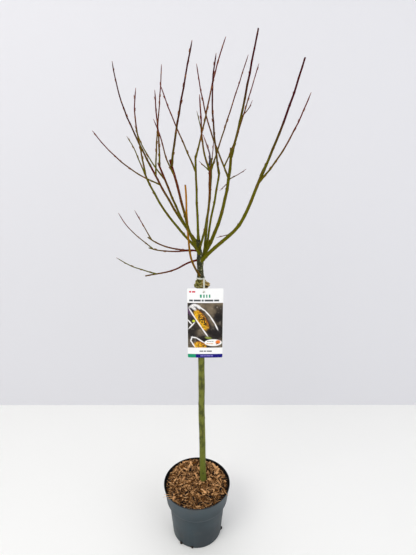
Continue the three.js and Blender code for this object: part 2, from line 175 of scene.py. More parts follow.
class Shape:
    """Gathers points, faces and values at the points for one mesh."""

    VALUES = {"place": "FLOAT_VECTOR", "ripe": "FLOAT", "tone": "FLOAT"}

    def __init__(self):
        self.points = []
        self.faces = []
        self.finishes = []
        self.values = {name: [] for name in self.VALUES}
        self.count = 0

    def add(self, points, faces, finish=0, **values):
        """Adds a part. finish is a material number for all its faces, or one for each face."""
        points = np.asarray(points, float)
        self.points.append(points)
        self.faces += [[corner + self.count for corner in face] for face in faces]
        self.finishes += [finish] * len(faces) if np.isscalar(finish) else list(finish)
        for name, kind in self.VALUES.items():
            shape = (len(points), 3) if kind == "FLOAT_VECTOR" else (len(points),)
            given = values.get(name, points if kind == "FLOAT_VECTOR" else 0)
            self.values[name].append(np.broadcast_to(np.asarray(given, float), shape))
        self.count += len(points)

    def mesh(self, name):
        made = bpy.data.meshes.new(name)
        made.from_pydata(np.concatenate(self.points).tolist(), [], self.faces)
        made.polygons.foreach_set("material_index", self.finishes)
        for value, kind in self.VALUES.items():
            layer = made.attributes.new(value, kind, "POINT")
            key = "vector" if kind == "FLOAT_VECTOR" else "value"
            layer.data.foreach_set(key, np.concatenate(self.values[value]).astype(np.float32).ravel())
        return made


def put_piece(name, mesh, materials, node, sharp=40, replaces=True):
    """Stands a finished mesh in the scene on the body, and hides the CAD node that it replaces."""
    mesh.shade_smooth()
    mesh.set_sharp_from_angle(angle=math.radians(sharp))
    for material in materials:
        mesh.materials.append(material)
    piece = bpy.data.objects.new(name, mesh)
    bpy.context.scene.collection.objects.link(piece)
    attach(piece, BODY)
    if replaces:
        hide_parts(node)


def unit(vectors):
    return vectors / np.linalg.norm(vectors, axis=-1, keepdims=True)


def round_angles(count):
    """Angles evenly round a ring of this many points."""
    return np.arange(count) / count * FULL_TURN


def line_frames(points):
    """The direction of a line at each of its points, and two steady directions across it."""
    ahead = unit(np.gradient(points, axis=0))
    start = np.cross(ahead[0], (0.0, 1.0, 0.0) if abs(ahead[0][1]) < 0.9 else (1.0, 0.0, 0.0))
    across = [unit(start)]
    for direction in ahead[1:]:
        across.append(unit(across[-1] - direction * np.dot(across[-1], direction)))
    across = np.array(across)
    return ahead, across, np.cross(ahead, across)


def level_ring(x, y, radius, height, count):
    """Points evenly round a level circle."""
    angles = round_angles(count)
    level = np.full(count, float(height))
    return np.stack([x + radius * np.cos(angles), y + radius * np.sin(angles), level], axis=1)


def outward_directions(across, up, angles):
    """Directions out of a line at each of its points and each of the angles round it."""
    return across[:, None] * np.cos(angles)[None, :, None] + up[:, None] * np.sin(angles)[None, :, None]


def distances_along(points):
    steps = np.linalg.norm(np.diff(points, axis=0), axis=1)
    return np.concatenate([[0.0], np.cumsum(steps)])


def between(t, start, start_slope, end, end_slope):
    """The point a share t of the way along a smooth curve with these ends and slopes."""
    return (
        (2 * t**3 - 3 * t**2 + 1) * start
        + (t**3 - 2 * t**2 + t) * start_slope
        + (-2 * t**3 + 3 * t**2) * end
        + (t**3 - t**2) * end_slope
    )


def smooth_line(points, values, step):
    """A line through the points at an even step, and the values along it."""
    s = distances_along(points)
    slopes = np.gradient(points, s, axis=0)
    count = max(int(round(s[-1] / step)), 4)
    wanted = np.linspace(0, s[-1], count + 1)
    index = np.clip(np.searchsorted(s, wanted, side="right") - 1, 0, len(s) - 2)
    gap = (s[index + 1] - s[index])[:, None]
    t = (wanted[:, None] - s[index][:, None]) / gap
    after = index + 1
    line = between(t, points[index], gap * slopes[index], points[after], gap * slopes[after])
    return line, np.interp(wanted, s, values)


def band(low, high, sides):
    """Faces between two rings, given the number of the first point of each."""
    pairs = [(side, (side + 1) % sides) for side in range(sides)]
    return [[low + side, low + after, high + after, high + side] for side, after in pairs]


def tube_faces(rings, sides, first=0):
    """Faces of a tube whose points are numbered ring by ring."""
    faces = []
    for ring in range(rings - 1):
        low = first + ring * sides
        faces += band(low, low + sides, sides)
    return faces


def closed_tube_faces(rings, sides):
    """Faces of a tube with a flat face over each end."""
    last = (rings - 1) * sides
    return tube_faces(rings, sides) + [list(range(sides))[::-1], list(range(last, last + sides))]


def fan(centre, first, sides, outwards):
    """Faces that close a ring with a point in its middle."""
    pairs = [(first + side, first + (side + 1) % sides) for side in range(sides)]
    return [[centre, a, b] if outwards else [centre, b, a] for a, b in pairs]


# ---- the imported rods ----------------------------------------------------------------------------


def welded(node):
    """The CAD node's points, each once, and for each the set of points joined to it."""
    mesh = frame["nodes"][node].data
    corners = np.array([v.co for v in mesh.vertices])
    _, point_of = np.unique(np.round(corners * 1e6).astype(int), axis=0, return_inverse=True)
    point_of = point_of.reshape(-1)
    points = np.zeros((point_of.max() + 1, 3))
    points[point_of] = corners
    joined = [set() for _ in points]
    mesh.calc_loop_triangles()
    for triangle in mesh.loop_triangles:
        trio = {int(point_of[i]) for i in triangle.vertices}
        for point in trio:
            joined[point] |= trio - {point}
    return points, joined


ROD_SIDES = (6, 8, 12, 16)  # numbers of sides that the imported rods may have


def rod_rings(node):
    """Middles and radii of a rod's rings, from the whole end inwards as far as the rod is whole."""
    points, joined = welded(node)
    best = None
    for pole, near in enumerate(joined):
        if len(near) not in ROD_SIDES:
            continue
        ring = points[sorted(near)] - points[sorted(near)].mean(axis=0)
        radii = np.linalg.norm(ring, axis=1)
        unevenness = (radii.std() + np.linalg.svd(ring)[1][2]) / radii.mean()
        if best is None or unevenness < best[0]:
            best = (unevenness, pole, len(near))
    if best is None:
        raise RuntimeError(f"{node} has no whole end to follow")
    _, pole, sides = best
    seen = {pole}
    ring = set(joined[pole])
    middles = []
    radii = []
    while len(ring) == sides:
        corners = points[sorted(ring)]
        middles.append(corners.mean(axis=0))
        radii.append(np.linalg.norm(corners - middles[-1], axis=1).mean())
        seen |= ring
        ring = set().union(*(joined[point] for point in ring)) - seen
    return np.array(middles), np.array(radii)


def upright_rod(node, step):
    """Line and radii of an upright rod from its foot to its top."""
    middles, radii = rod_rings(node)
    if middles[0][2] > middles[-1][2]:
        middles, radii = middles[::-1], radii[::-1]
    return smooth_line(middles, radii, step)


# ---- node trees ---------------------------------------------------------------------------------


def feed(tree, made, inputs):
    """Joins or sets a node's inputs."""
    for key, value in inputs.items():
        if isinstance(value, bpy.types.NodeSocket):
            tree.links.new(value, made.inputs[key])
        else:
            made.inputs[key].default_value = value


def node(tree, kind, inputs=None, **settings):
    made = tree.nodes.new(kind)
    for key, value in settings.items():
        setattr(made, key, value)
    feed(tree, made, inputs or {})
    return made


def sums(tree, operation, a, b=0.0, c=0.0):
    return node(tree, "ShaderNodeMath", {0: a, 1: b, 2: c}, operation=operation).outputs[0]


def blend(tree, share, a, b, how="MIX"):
    """Colour a turning into colour b by a share."""
    made = node(tree, "ShaderNodeMix", {0: share, 6: a, 7: b}, data_type="RGBA", blend_type=how)
    return made.outputs[2]


def spread(tree, value, low, high, to_low=0.0, to_high=1.0):
    """A value's range from low to high stretched smoothly to another range."""
    inputs = {0: value, 1: low, 2: high, 3: to_low, 4: to_high}
    return node(tree, "ShaderNodeMapRange", inputs, interpolation_type="SMOOTHSTEP").outputs[0]


def vectors(tree, operation, a, b=(0, 0, 0)):
    return node(tree, "ShaderNodeVectorMath", {0: a, 1: b}, operation=operation).outputs


def stretched(tree, place, factors):
    return vectors(tree, "MULTIPLY", place, factors)[0]


def clouds(tree, place, scale, detail=3.0, roughness=0.55):
    inputs = {"Vector": place, "Scale": scale, "Detail": detail, "Roughness": roughness}
    return node(tree, "ShaderNodeTexNoise", inputs).outputs["Fac"]


def cells(tree, place, scale):
    return node(tree, "ShaderNodeTexVoronoi", {"Vector": place, "Scale": scale}).outputs["Distance"]


def read(tree, name):
    """A value stored at the mesh's points."""
    made = node(tree, "ShaderNodeAttribute", attribute_name=name)
    return made.outputs["Vector"] if name == "place" else made.outputs["Fac"]


def object_place(tree):
    return node(tree, "ShaderNodeTexCoord").outputs["Object"]


SOCKETS = {"vector": "NodeSocketVector", "value": "NodeSocketFloat", "colour": "NodeSocketColor"}


def group_tree(name, inputs, outputs):
    """A new shader node group. inputs are (name, kind, default) and outputs are (name, kind)."""
    tree = bpy.data.node_groups.new(name, "ShaderNodeTree")
    for label, kind, default in inputs:
        made = tree.interface.new_socket(name=label, in_out="INPUT", socket_type=SOCKETS[kind])
        made.default_value = default
    for label, kind in outputs:
        tree.interface.new_socket(name=label, in_out="OUTPUT", socket_type=SOCKETS[kind])
    return tree, node(tree, "NodeGroupInput").outputs, node(tree, "NodeGroupOutput").inputs


def use_group(tree, name, inputs):
    made = tree.nodes.new("ShaderNodeGroup")
    made.node_tree = bpy.data.node_groups.get(name) or GROUPS[name]()
    feed(tree, made, inputs)
    return made.outputs


def bark_grain():
    """Long streaks, soft mottling and small specks, laid along a stem that is drawn out straight."""
    inputs = [("Place", "vector", (0, 0, 0)), ("Streaks", "value", 1.0), ("Specks", "value", 1.0)]
    outputs = [("Streak", "value"), ("Mottle", "value"), ("Speck", "value")]
    tree, given, out = group_tree("Bark Grain", inputs, outputs)
    link = tree.links.new
    long_place = stretched(tree, given["Place"], (1400, 1400, 90))
    link(clouds(tree, long_place, given["Streaks"], 4.0), out["Streak"])
    link(clouds(tree, stretched(tree, given["Place"], (95, 95, 48)), 1.0, 3.0), out["Mottle"])
    spots = cells(tree, stretched(tree, given["Place"], (520, 520, 260)), given["Specks"])
    chosen = spread(tree, clouds(tree, given["Place"], 160.0, 1.0), 0.45, 0.6)
    link(sums(tree, "MULTIPLY", spread(tree, spots, 0.24, 0.1), chosen), out["Speck"])
    return tree


def young_bark():
    """Smooth bark of a young shoot, from its green colour to its ripe one."""
    inputs = [
        ("Place", "vector", (0, 0, 0)),
        ("Ripeness", "value", 0.0),
        ("Young", "colour", (1, 1, 1, 1)),
        ("Ripe", "colour", (1, 1, 1, 1)),
        ("Speck Colour", "colour", (1, 1, 1, 1)),
    ]
    outputs = [("Colour", "colour"), ("Roughness", "value"), ("Height", "value")]
    tree, given, out = group_tree("Young Bark", inputs, outputs)
    grain = use_group(tree, "Bark Grain", {"Place": given["Place"]})
    drift = sums(tree, "MULTIPLY_ADD", grain["Mottle"], 0.7, -0.35)
    ripeness = sums(tree, "ADD", given["Ripeness"], drift)
    colour = blend(tree, spread(tree, ripeness, 0.0, 1.0), given["Young"], given["Ripe"])
    dark = blend(tree, 0.55, colour, (0.02, 0.012, 0.01, 1))
    colour = blend(tree, spread(tree, grain["Streak"], 0.52, 0.78), colour, dark)
    speck_share = sums(tree, "MULTIPLY", grain["Speck"], 0.55)
    colour = blend(tree, speck_share, colour, given["Speck Colour"])
    tree.links.new(colour, out["Colour"])
    tree.links.new(spread(tree, grain["Mottle"], 0.2, 0.8, 0.45, 0.65), out["Roughness"])
    height = sums(tree, "MULTIPLY_ADD", grain["Speck"], 0.8, grain["Streak"])
    tree.links.new(height, out["Height"])
    return tree


def grime():
    """A dusty film and finer crumbs of soil, as a changed colour and a mask."""
    inputs = [
        ("Place", "vector", (0, 0, 0)),
        ("Clean", "colour", (1, 1, 1, 1)),
        ("Soil", "colour", paint("6b5238")),
        ("Amount", "value", 0.3),
    ]
    tree, given, out = group_tree("Grime", inputs, [("Colour", "colour"), ("Mask", "value")])
    film = spread(tree, clouds(tree, given["Place"], 26.0, 5.0, 0.7), 0.5, 0.78)
    crumbs = spread(tree, cells(tree, given["Place"], 420.0), 0.2, 0.08)
    crumbs = sums(tree, "MULTIPLY", crumbs, spread(tree, clouds(tree, given["Place"], 60.0), 0.5, 0.65))
    both = sums(tree, "MAXIMUM", sums(tree, "MULTIPLY", film, 0.6), crumbs)
    mask = sums(tree, "MULTIPLY", both, given["Amount"])
    tree.links.new(blend(tree, mask, given["Clean"], given["Soil"]), out["Colour"])
    tree.links.new(mask, out["Mask"])
    return tree


def torn_wood():
    """Grain and shade of a chip of bark or a crumb of soil."""
    inputs = [
        ("Place", "vector", (0, 0, 0)),
        ("Tone", "value", 0.5),
        ("Dark", "colour", (0, 0, 0, 1)),
        ("Middle", "colour", (0.5, 0.5, 0.5, 1)),
        ("Pale", "colour", (1, 1, 1, 1)),
    ]
    tree, given, out = group_tree("Torn Wood", inputs, [("Colour", "colour"), ("Height", "value")])
    lines = clouds(tree, stretched(tree, given["Place"], (160, 1500, 1500)), 1.0, 4.0, 0.6)
    patches = clouds(tree, given["Place"], 210.0, 3.0)
    shade = sums(tree, "MULTIPLY_ADD", patches, 0.5, given["Tone"])
    shade = sums(tree, "MULTIPLY_ADD", lines, 0.5, sums(tree, "SUBTRACT", shade, 0.5))
    low = blend(tree, spread(tree, shade, 0.0, 0.5), given["Dark"], given["Middle"])
    tree.links.new(blend(tree, spread(tree, shade, 0.5, 1.05), low, given["Pale"]), out["Colour"])
    tree.links.new(sums(tree, "MULTIPLY_ADD", patches, 0.6, lines), out["Height"])
    return tree


def soft_spot():
    """A tilted soft-edged oval on the label, in millimetres, and how far across it a place is."""
    inputs = [
        ("Place", "vector", (0, 0, 0)),
        ("Middle", "vector", (0, 0, 0)),
        ("Turn", "value", 0.0),
        ("Half Size", "vector", (1, 1, 1)),
        ("Softness", "value", 0.2),
        ("Fur", "value", 0.0),
    ]
    tree, given, out = group_tree("Soft Spot", inputs, [("Mask", "value"), ("Across", "value")])
    shifted = vectors(tree, "SUBTRACT", given["Place"], given["Middle"])[0]
    turn = {"Vector": shifted, "Angle": given["Turn"]}
    turned = node(tree, "ShaderNodeVectorRotate", turn, rotation_type="Z_AXIS").outputs[0]
    inside = vectors(tree, "DIVIDE", turned, given["Half Size"])[0]
    distance = vectors(tree, "LENGTH", inside)["Value"]
    hairs = sums(tree, "SUBTRACT", clouds(tree, given["Place"], 1.1, 4.0, 0.8), 0.5)
    edge = sums(tree, "MULTIPLY_ADD", hairs, given["Fur"], distance)
    inner = sums(tree, "SUBTRACT", 1.0, given["Softness"])
    outer = sums(tree, "ADD", 1.0, given["Softness"])
    tree.links.new(spread(tree, edge, outer, inner), out["Mask"])
    tree.links.new(node(tree, "ShaderNodeSeparateXYZ", {0: inside}).outputs[1], out["Across"])
    return tree


def print_bar():
    """A plain printed bar on the label, in millimetres."""
    inputs = [
        ("Place", "vector", (0, 0, 0)),
        ("Middle", "vector", (0, 0, 0)),
        ("Half Size", "vector", (1, 1, 1)),
    ]
    tree, given, out = group_tree("Print Bar", inputs, [("Mask", "value")])
    shifted = vectors(tree, "SUBTRACT", given["Place"], given["Middle"])[0]
    over = vectors(tree, "SUBTRACT", vectors(tree, "ABSOLUTE", shifted)[0], given["Half Size"])[0]
    parts = node(tree, "ShaderNodeSeparateXYZ", {0: over}).outputs
    worst = sums(tree, "MAXIMUM", parts[0], parts[1])
    tree.links.new(spread(tree, worst, 0.15, -0.15), out["Mask"])
    return tree


GROUPS = {
    "Bark Grain": bark_grain,
    "Young Bark": young_bark,
    "Grime": grime,
    "Torn Wood": torn_wood,
    "Soft Spot": soft_spot,
    "Print Bar": print_bar,
}


def new_material(name):
    """A material with one Principled BSDF, its tree and that node."""
    made = bpy.data.materials.new(name)
    made.use_nodes = True
    return made, made.node_tree, made.node_tree.nodes["Principled BSDF"]


def finish(tree, shader, colour, roughness, height=None, depth=0.1 * MM, strength=0.6):
    """Joins a material's colour, roughness and height to its shader."""
    feed(tree, shader, {"Base Color": colour, "Roughness": roughness})
    if height is not None:
        bump = node(tree, "ShaderNodeBump", {"Height": height, "Distance": depth, "Strength": strength})
        tree.links.new(bump.outputs[0], shader.inputs["Normal"])


def shoot_material(name, young, ripe, speck):
    made, tree, shader = new_material(name)
    inputs = {
        "Place": read(tree, "place"),
        "Ripeness": read(tree, "ripe"),
        "Young": young,
        "Ripe": ripe,
        "Speck Colour": speck,
    }
    bark = use_group(tree, "Young Bark", inputs)
    finish(tree, shader, bark["Colour"], bark["Roughness"], bark["Height"], 0.08 * MM)
    shader.inputs["Specular IOR Level"].default_value = 0.06
    return made


def bud_material():
    """Scales of a winter bud: green-brown at the foot, redder towards the point."""
    made, tree, shader = new_material("bud_scales")
    mottle = clouds(tree, read(tree, "place"), 900.0, 2.0)
    ripe = sums(tree, "MULTIPLY_ADD", mottle, 0.5, read(tree, "tone"))
    colour = blend(tree, spread(tree, ripe, 0.2, 1.1), paint("94731c"), paint("7c3418"))
    finish(tree, shader, colour, 0.5, mottle, 0.05 * MM)
    return made


def cut_material():
    """Weathered cut wood with a dark pith and fine rays."""
    made, tree, shader = new_material("cut_wood")
    grain = clouds(tree, read(tree, "place"), 1500.0, 3.0)
    wood = blend(tree, grain, paint("3c332c"), paint("8a7a62"))
    colour = blend(tree, spread(tree, read(tree, "tone"), 0.55, 0.95), wood, paint("241c17"))
    finish(tree, shader, colour, 0.85, grain, 0.1 * MM)
    return made


# ---- pot ----------------------------------------------------------------------------------------


def pot_levels():
    """Outer radius of the CAD pot at each height where its wall turns, and its wall thickness."""
    points, _ = welded("pot")
    radii = np.hypot(points[:, 0], points[:, 1])
    heights = np.round(points[:, 2] / MM, 2)
    rim = heights.max()
    outer = []
    for height in np.unique(heights):
        radius = radii[heights == height].max()
        if height in (0, rim) or radius > outer[0][0] + MM:
            outer.append((radius, height * MM))
    rim_radii = radii[heights == rim]
    return outer, rim_radii.max() - rim_radii.min()


def rounded(outline, reach):
    """The outline with each inner corner rounded by a curve that starts reach away from it."""
    outline = np.array(outline)
    made = [outline[0]]
    for before, corner, after in zip(outline, outline[1:], outline[2:]):
        back = before - corner
        ahead = after - corner
        cut = min(reach, 0.45 * np.linalg.norm(back), 0.45 * np.linalg.norm(ahead))
        start = corner + unit(back) * cut
        end = corner + unit(ahead) * cut
        for t in (0, 0.25, 0.5, 0.75, 1):
            made.append((1 - t) ** 2 * start + 2 * t * (1 - t) * corner + t * t * end)
    made.append(outline[-1])
    return np.array(made)


def turned_shape(outline, segments, finishes):
    """A closed solid turned about Z from an outline that starts and ends on the axis."""
    rings = outline[1:-1]
    points = [level_ring(0, 0, radius, height, segments) for radius, height in rings]
    points.append([[0, 0, outline[0][1]], [0, 0, outline[-1][1]]])
    count = len(rings) * segments
    faces = tube_faces(len(rings), segments)
    faces += fan(count, 0, segments, False) + fan(count + 1, count - segments, segments, True)
    per_face = list(np.repeat(finishes[: len(rings) - 1], segments))
    per_face += [finishes[0]] * segments + [finishes[-1]] * segments
    made = Shape()
    made.add(np.concatenate(points), faces, per_face)
    return made


def evaluated_copy(mesh, modifiers):
    """The mesh with modifiers applied, each given as (type, settings)."""
    holder = bpy.data.objects.new("holder", mesh)
    bpy.context.scene.collection.objects.link(holder)
    for kind, settings in modifiers:
        modifier = holder.modifiers.new(kind, kind)
        for key, value in settings.items():
            setattr(modifier, key, value)
    graph = bpy.context.evaluated_depsgraph_get()
    made = bpy.data.meshes.new_from_object(holder.evaluated_get(graph), depsgraph=graph)
    bpy.data.objects.remove(holder)
    return made


# The foot notches stand in three pairs, each notch turned this far from its pair's middle.
NOTCH_PAIRS = (-115, 5, 125)
NOTCH_TURN = 13
NOTCH_HEADINGS = [math.radians(pair + side * NOTCH_TURN) for pair in NOTCH_PAIRS for side in (-1, 1)]
CRUMBS_IN_A_NOTCH = 5


def ball_mesh():
    """Points and faces of a round ball of radius 1."""
    held = bmesh.new()
    bmesh.ops.create_icosphere(held, subdivisions=2, radius=1.0)
    points = np.array([v.co for v in held.verts])
    faces = [[v.index for v in face.verts] for face in held.faces]
    held.free()
    return points, faces


def notch_crumbs(foot_radius):
    """Dark lumps of compost in the foot notches."""
    rng = np.random.default_rng(SEED + 5)
    ball, faces = ball_mesh()
    crumbs = Shape()
    for heading in np.repeat(NOTCH_HEADINGS, CRUMBS_IN_A_NOTCH):
        size = rng.uniform(3.0, 5.0) * MM
        shift = Vector((rng.uniform(0, 50), 0, 0))
        rough = np.array([noise.fractal(Vector(p) * 1.4 + shift, 0.8, 2.0, 3) for p in ball])
        lump = ball * (size * (1 + 0.4 * rough))[:, None]
        turn = heading + rng.uniform(-4.5, 4.5) * MM / foot_radius
        reach = foot_radius + rng.uniform(-5, 0.5) * MM
        lift = rng.uniform(0, 0.8) * MM - lump[:, 2].min()
        lump += (reach * math.cos(turn), reach * math.sin(turn), lift)
        crumbs.add(lump, faces, 0)
    return crumbs.mesh("notch_crumbs")


DRAIN_HOLES = 8
DRAIN_CIRCLE = 46 * MM
DRILL_RADIUS = 4.5 * MM
DRILL_SIDES = 24
# Outline of a notch as width and height in millimetres, with rounded upper corners.
NOTCH_OUTLINE = (
    (-6, -8),
    (6, -8),
    (6, 4.7),
    (4.6, 6.1),
    (3.2, 6.5),
    (-3.2, 6.5),
    (-4.6, 6.1),
    (-6, 4.7),
)


def pot_cutters(foot_radius):
    """Drills for the drain holes and the notches in the foot ring."""
    cutters = Shape()
    for heading in round_angles(DRAIN_HOLES):
        x, y = DRAIN_CIRCLE * math.cos(heading), DRAIN_CIRCLE * math.sin(heading)
        rings = [level_ring(x, y, DRILL_RADIUS, z, DRILL_SIDES) for z in (-10 * MM, 12 * MM)]
        # The cut faces of each drain hole take the dark material 1, as painted shade.
        cutters.add(np.concatenate(rings), closed_tube_faces(2, DRILL_SIDES), 1)
    faces = closed_tube_faces(2, len(NOTCH_OUTLINE))
    for heading in NOTCH_HEADINGS:
        outwards = np.array([math.cos(heading), math.sin(heading)])
        along = np.array([-outwards[1], outwards[0]])
        points = []
        for reach in (foot_radius - 11 * MM, foot_radius + 8 * MM):
            for wide, high in NOTCH_OUTLINE:
                points.append([*(outwards * reach + along * wide * MM), high * MM])
        # The cut faces of each notch take the dark material 1, as painted shade.
        cutters.add(points, faces, 1)
    return cutters.mesh("pot_cutters")


def pot_materials(settings):
    outside, tree, shader = new_material("pot_slate_plastic")
    place = object_place(tree)
    broad = clouds(tree, place, 9.0, 3.0)
    height = node(tree, "ShaderNodeSeparateXYZ", {0: place}).outputs[2]
    slate = blend(tree, spread(tree, broad, 0.3, 0.7), settings.outside[:], paint("273137"))
    # Painted light: the outside turns lighter towards the rim.
    rim_painted_light = spread(tree, height, 120 * MM, 168 * MM)
    slate = blend(tree, sums(tree, "MULTIPLY", rim_painted_light, 0.5), slate, paint("46535a"))
    lip = spread(tree, height, 165 * MM, 166.5 * MM)
    slate = blend(tree, sums(tree, "MULTIPLY", lip, 0.85), slate, paint("1a2226"))
    scuffs = clouds(tree, stretched(tree, place, (30, 30, 420)), 1.0, 5.0, 0.7)
    slate = blend(tree, spread(tree, scuffs, 0.62, 0.82, 0.0, 0.2), slate, paint("5d686d"))
    dirty = use_group(tree, "Grime", {"Place": place, "Clean": slate, "Amount": 0.22})
    pebble = clouds(tree, place, 1500.0, 2.0)
    rough = spread(tree, broad, 0.2, 0.8, 0.46, 0.62)
    relief = sums(tree, "MULTIPLY_ADD", scuffs, 0.5, pebble)
    finish(tree, shader, dirty["Colour"], rough, relief, 0.06 * MM, 0.5)
    shader.inputs["Specular IOR Level"].default_value = 0.35

    # The dark inside material also serves as painted shade on the underside and on the cut faces of the drain
    # holes and foot notches.
    inside, tree, shader = new_material("pot_inside_and_painted_shade")
    place = object_place(tree)
    soiled = {"Place": place, "Clean": settings.inside[:], "Soil": paint("4a3a2b"), "Amount": 0.7}
    dirty = use_group(tree, "Grime", soiled)
    rough = sums(tree, "MULTIPLY_ADD", dirty["Mask"], 0.4, 0.5)
    finish(tree, shader, dirty["Colour"], rough, clouds(tree, place, 900.0), 0.08 * MM, 0.4)
    shader.inputs["Specular IOR Level"].default_value = 0.15
    return outside, inside


class WILLOW_OT_pot(bpy.types.Operator):
    """Turn the nursery pot with its beaded rim, drain holes and foot notches"""

    bl_idname = "willow.pot"
    bl_label = "Pot"

    FLOOR = 2 * MM
    RECESS = 3 * MM
    PAD_RADIUS = 27 * MM
    FOOT_INNER_RADIUS = 64 * MM
    ROUNDING = 5 * MM

    def outline(self, settings):
        """The whole section, from the middle of the underside round over the rim to the floor's middle."""
        outer, wall = pot_levels()
        foot_radius = outer[0][0]
        rim_radius, rim = outer[-1]
        bead, lip = settings.bead, settings.lip
        under = [
            (0, 0),
            (self.PAD_RADIUS, 0),
            (self.PAD_RADIUS + 4 * MM, self.RECESS),
            (self.FOOT_INNER_RADIUS - 3 * MM, self.RECESS),
            (self.FOOT_INNER_RADIUS, 0),
        ]
        outside = [(foot_radius, 0)] + outer[1:-1]
        slope = (rim_radius - outer[-2][0]) / (rim - outer[-2][1])
        below = rim_radius - bead - slope * lip
        outside += [(below, rim - lip - 1.2 * MM), (below + bead, rim - lip)]
        top = [(rim_radius, rim - 1 * MM), (rim_radius - 0.5 * MM, rim), (rim_radius - wall, rim)]
        inside = [(r - wall - bead, z) for r, z in outer[1:-1]][::-1]
        floor = [(foot_radius - wall, self.FLOOR)] + [(r, z + self.FLOOR) for r, z in under[::-1]]
        return rounded(under + outside + top + inside + floor, self.ROUNDING), foot_radius

    def execute(self, context):
        settings = context.scene.willow_pot
        full, foot_radius = self.outline(settings)
        highest = int(np.argmax(full[:, 1] - 1e-6 * full[:, 0]))
        foot_end = int(np.argmax(full[:, 0] > foot_radius - 2 * MM))
        # Every face but the outside wall takes the dark material: the inside and the rim's top take the dark
        # inside colour, and the underside takes it as painted shade.
        finishes = [0 if foot_end <= i < highest else 1 for i in range(len(full))]
        shell = turned_shape(full, settings.segments, finishes).mesh("pot_blank")
        cutters = bpy.data.objects.new("pot_cutters", pot_cutters(foot_radius))
        for material in pot_materials(settings):
            shell.materials.append(material)
            cutters.data.materials.append(material)
        context.scene.collection.objects.link(cutters)
        cut = ("BOOLEAN", {"operation": "DIFFERENCE", "solver": "EXACT", "object": cutters})
        made = evaluated_copy(shell, [cut])
        bpy.data.objects.remove(cutters)
        made.name = "pot_shell"
        put_piece("pot_shell", made, [], "pot", 35)
        return {"FINISHED"}


# ---- compost and mulch --------------------------------------------------------------------------


def mulch_material(settings):
    made, tree, shader = new_material("mulch_chips")
    inputs = {
        "Place": read(tree, "place"),
        "Tone": read(tree, "tone"),
        "Dark": settings.dark[:],
        "Middle": settings.middle[:],
        "Pale": settings.pale[:],
    }
    wood = use_group(tree, "Torn Wood", inputs)
    finish(tree, shader, wood["Colour"], 0.88, wood["Height"], 0.35 * MM, 0.8)
    shader.inputs["Specular IOR Level"].default_value = 0.25
    return made


def compost_material():
    made, tree, shader = new_material("compost_crumbs")
    place = object_place(tree)
    inputs = {
        "Place": place,
        "Tone": clouds(tree, place, 120.0),
        "Dark": paint("0d0a07"),
        "Middle": paint("1a130e"),
        "Pale": paint("3a2c20"),
    }
    soil = use_group(tree, "Torn Wood", inputs)
    finish(tree, shader, soil["Colour"], 0.95, soil["Height"], 0.8 * MM, 1.0)
    return made


def chip_rings(rng, length, width, thick, rings, sides):
    """A torn chip lying along X: an uneven, slightly curled and twisted flat bar."""
    angles = (np.arange(sides) + 0.5) / sides * FULL_TURN
    squared = [np.sign(wave) * np.abs(wave) ** 0.6 for wave in (np.cos(angles), np.sin(angles))]
    curl = rng.uniform(-0.07, 0.07)
    twist = rng.uniform(-0.35, 0.35)
    points = []
    for share in np.linspace(-0.5, 0.5, rings):
        girth = (1 - 0.55 * abs(2 * share) ** 3) * rng.uniform(0.75, 1.15, sides)
        y = width / 2 * girth * squared[0]
        z = thick / 2 * girth * squared[1]
        cosine, sine = math.cos(twist * share), math.sin(twist * share)
        x = length * share + rng.uniform(-0.06, 0.06, sides) * width
        lift = curl * length * (4 * share**2 - 0.5)
        points.append(np.stack([x, y * cosine - z * sine, y * sine + z * cosine + lift], axis=1))
    return np.concatenate(points)


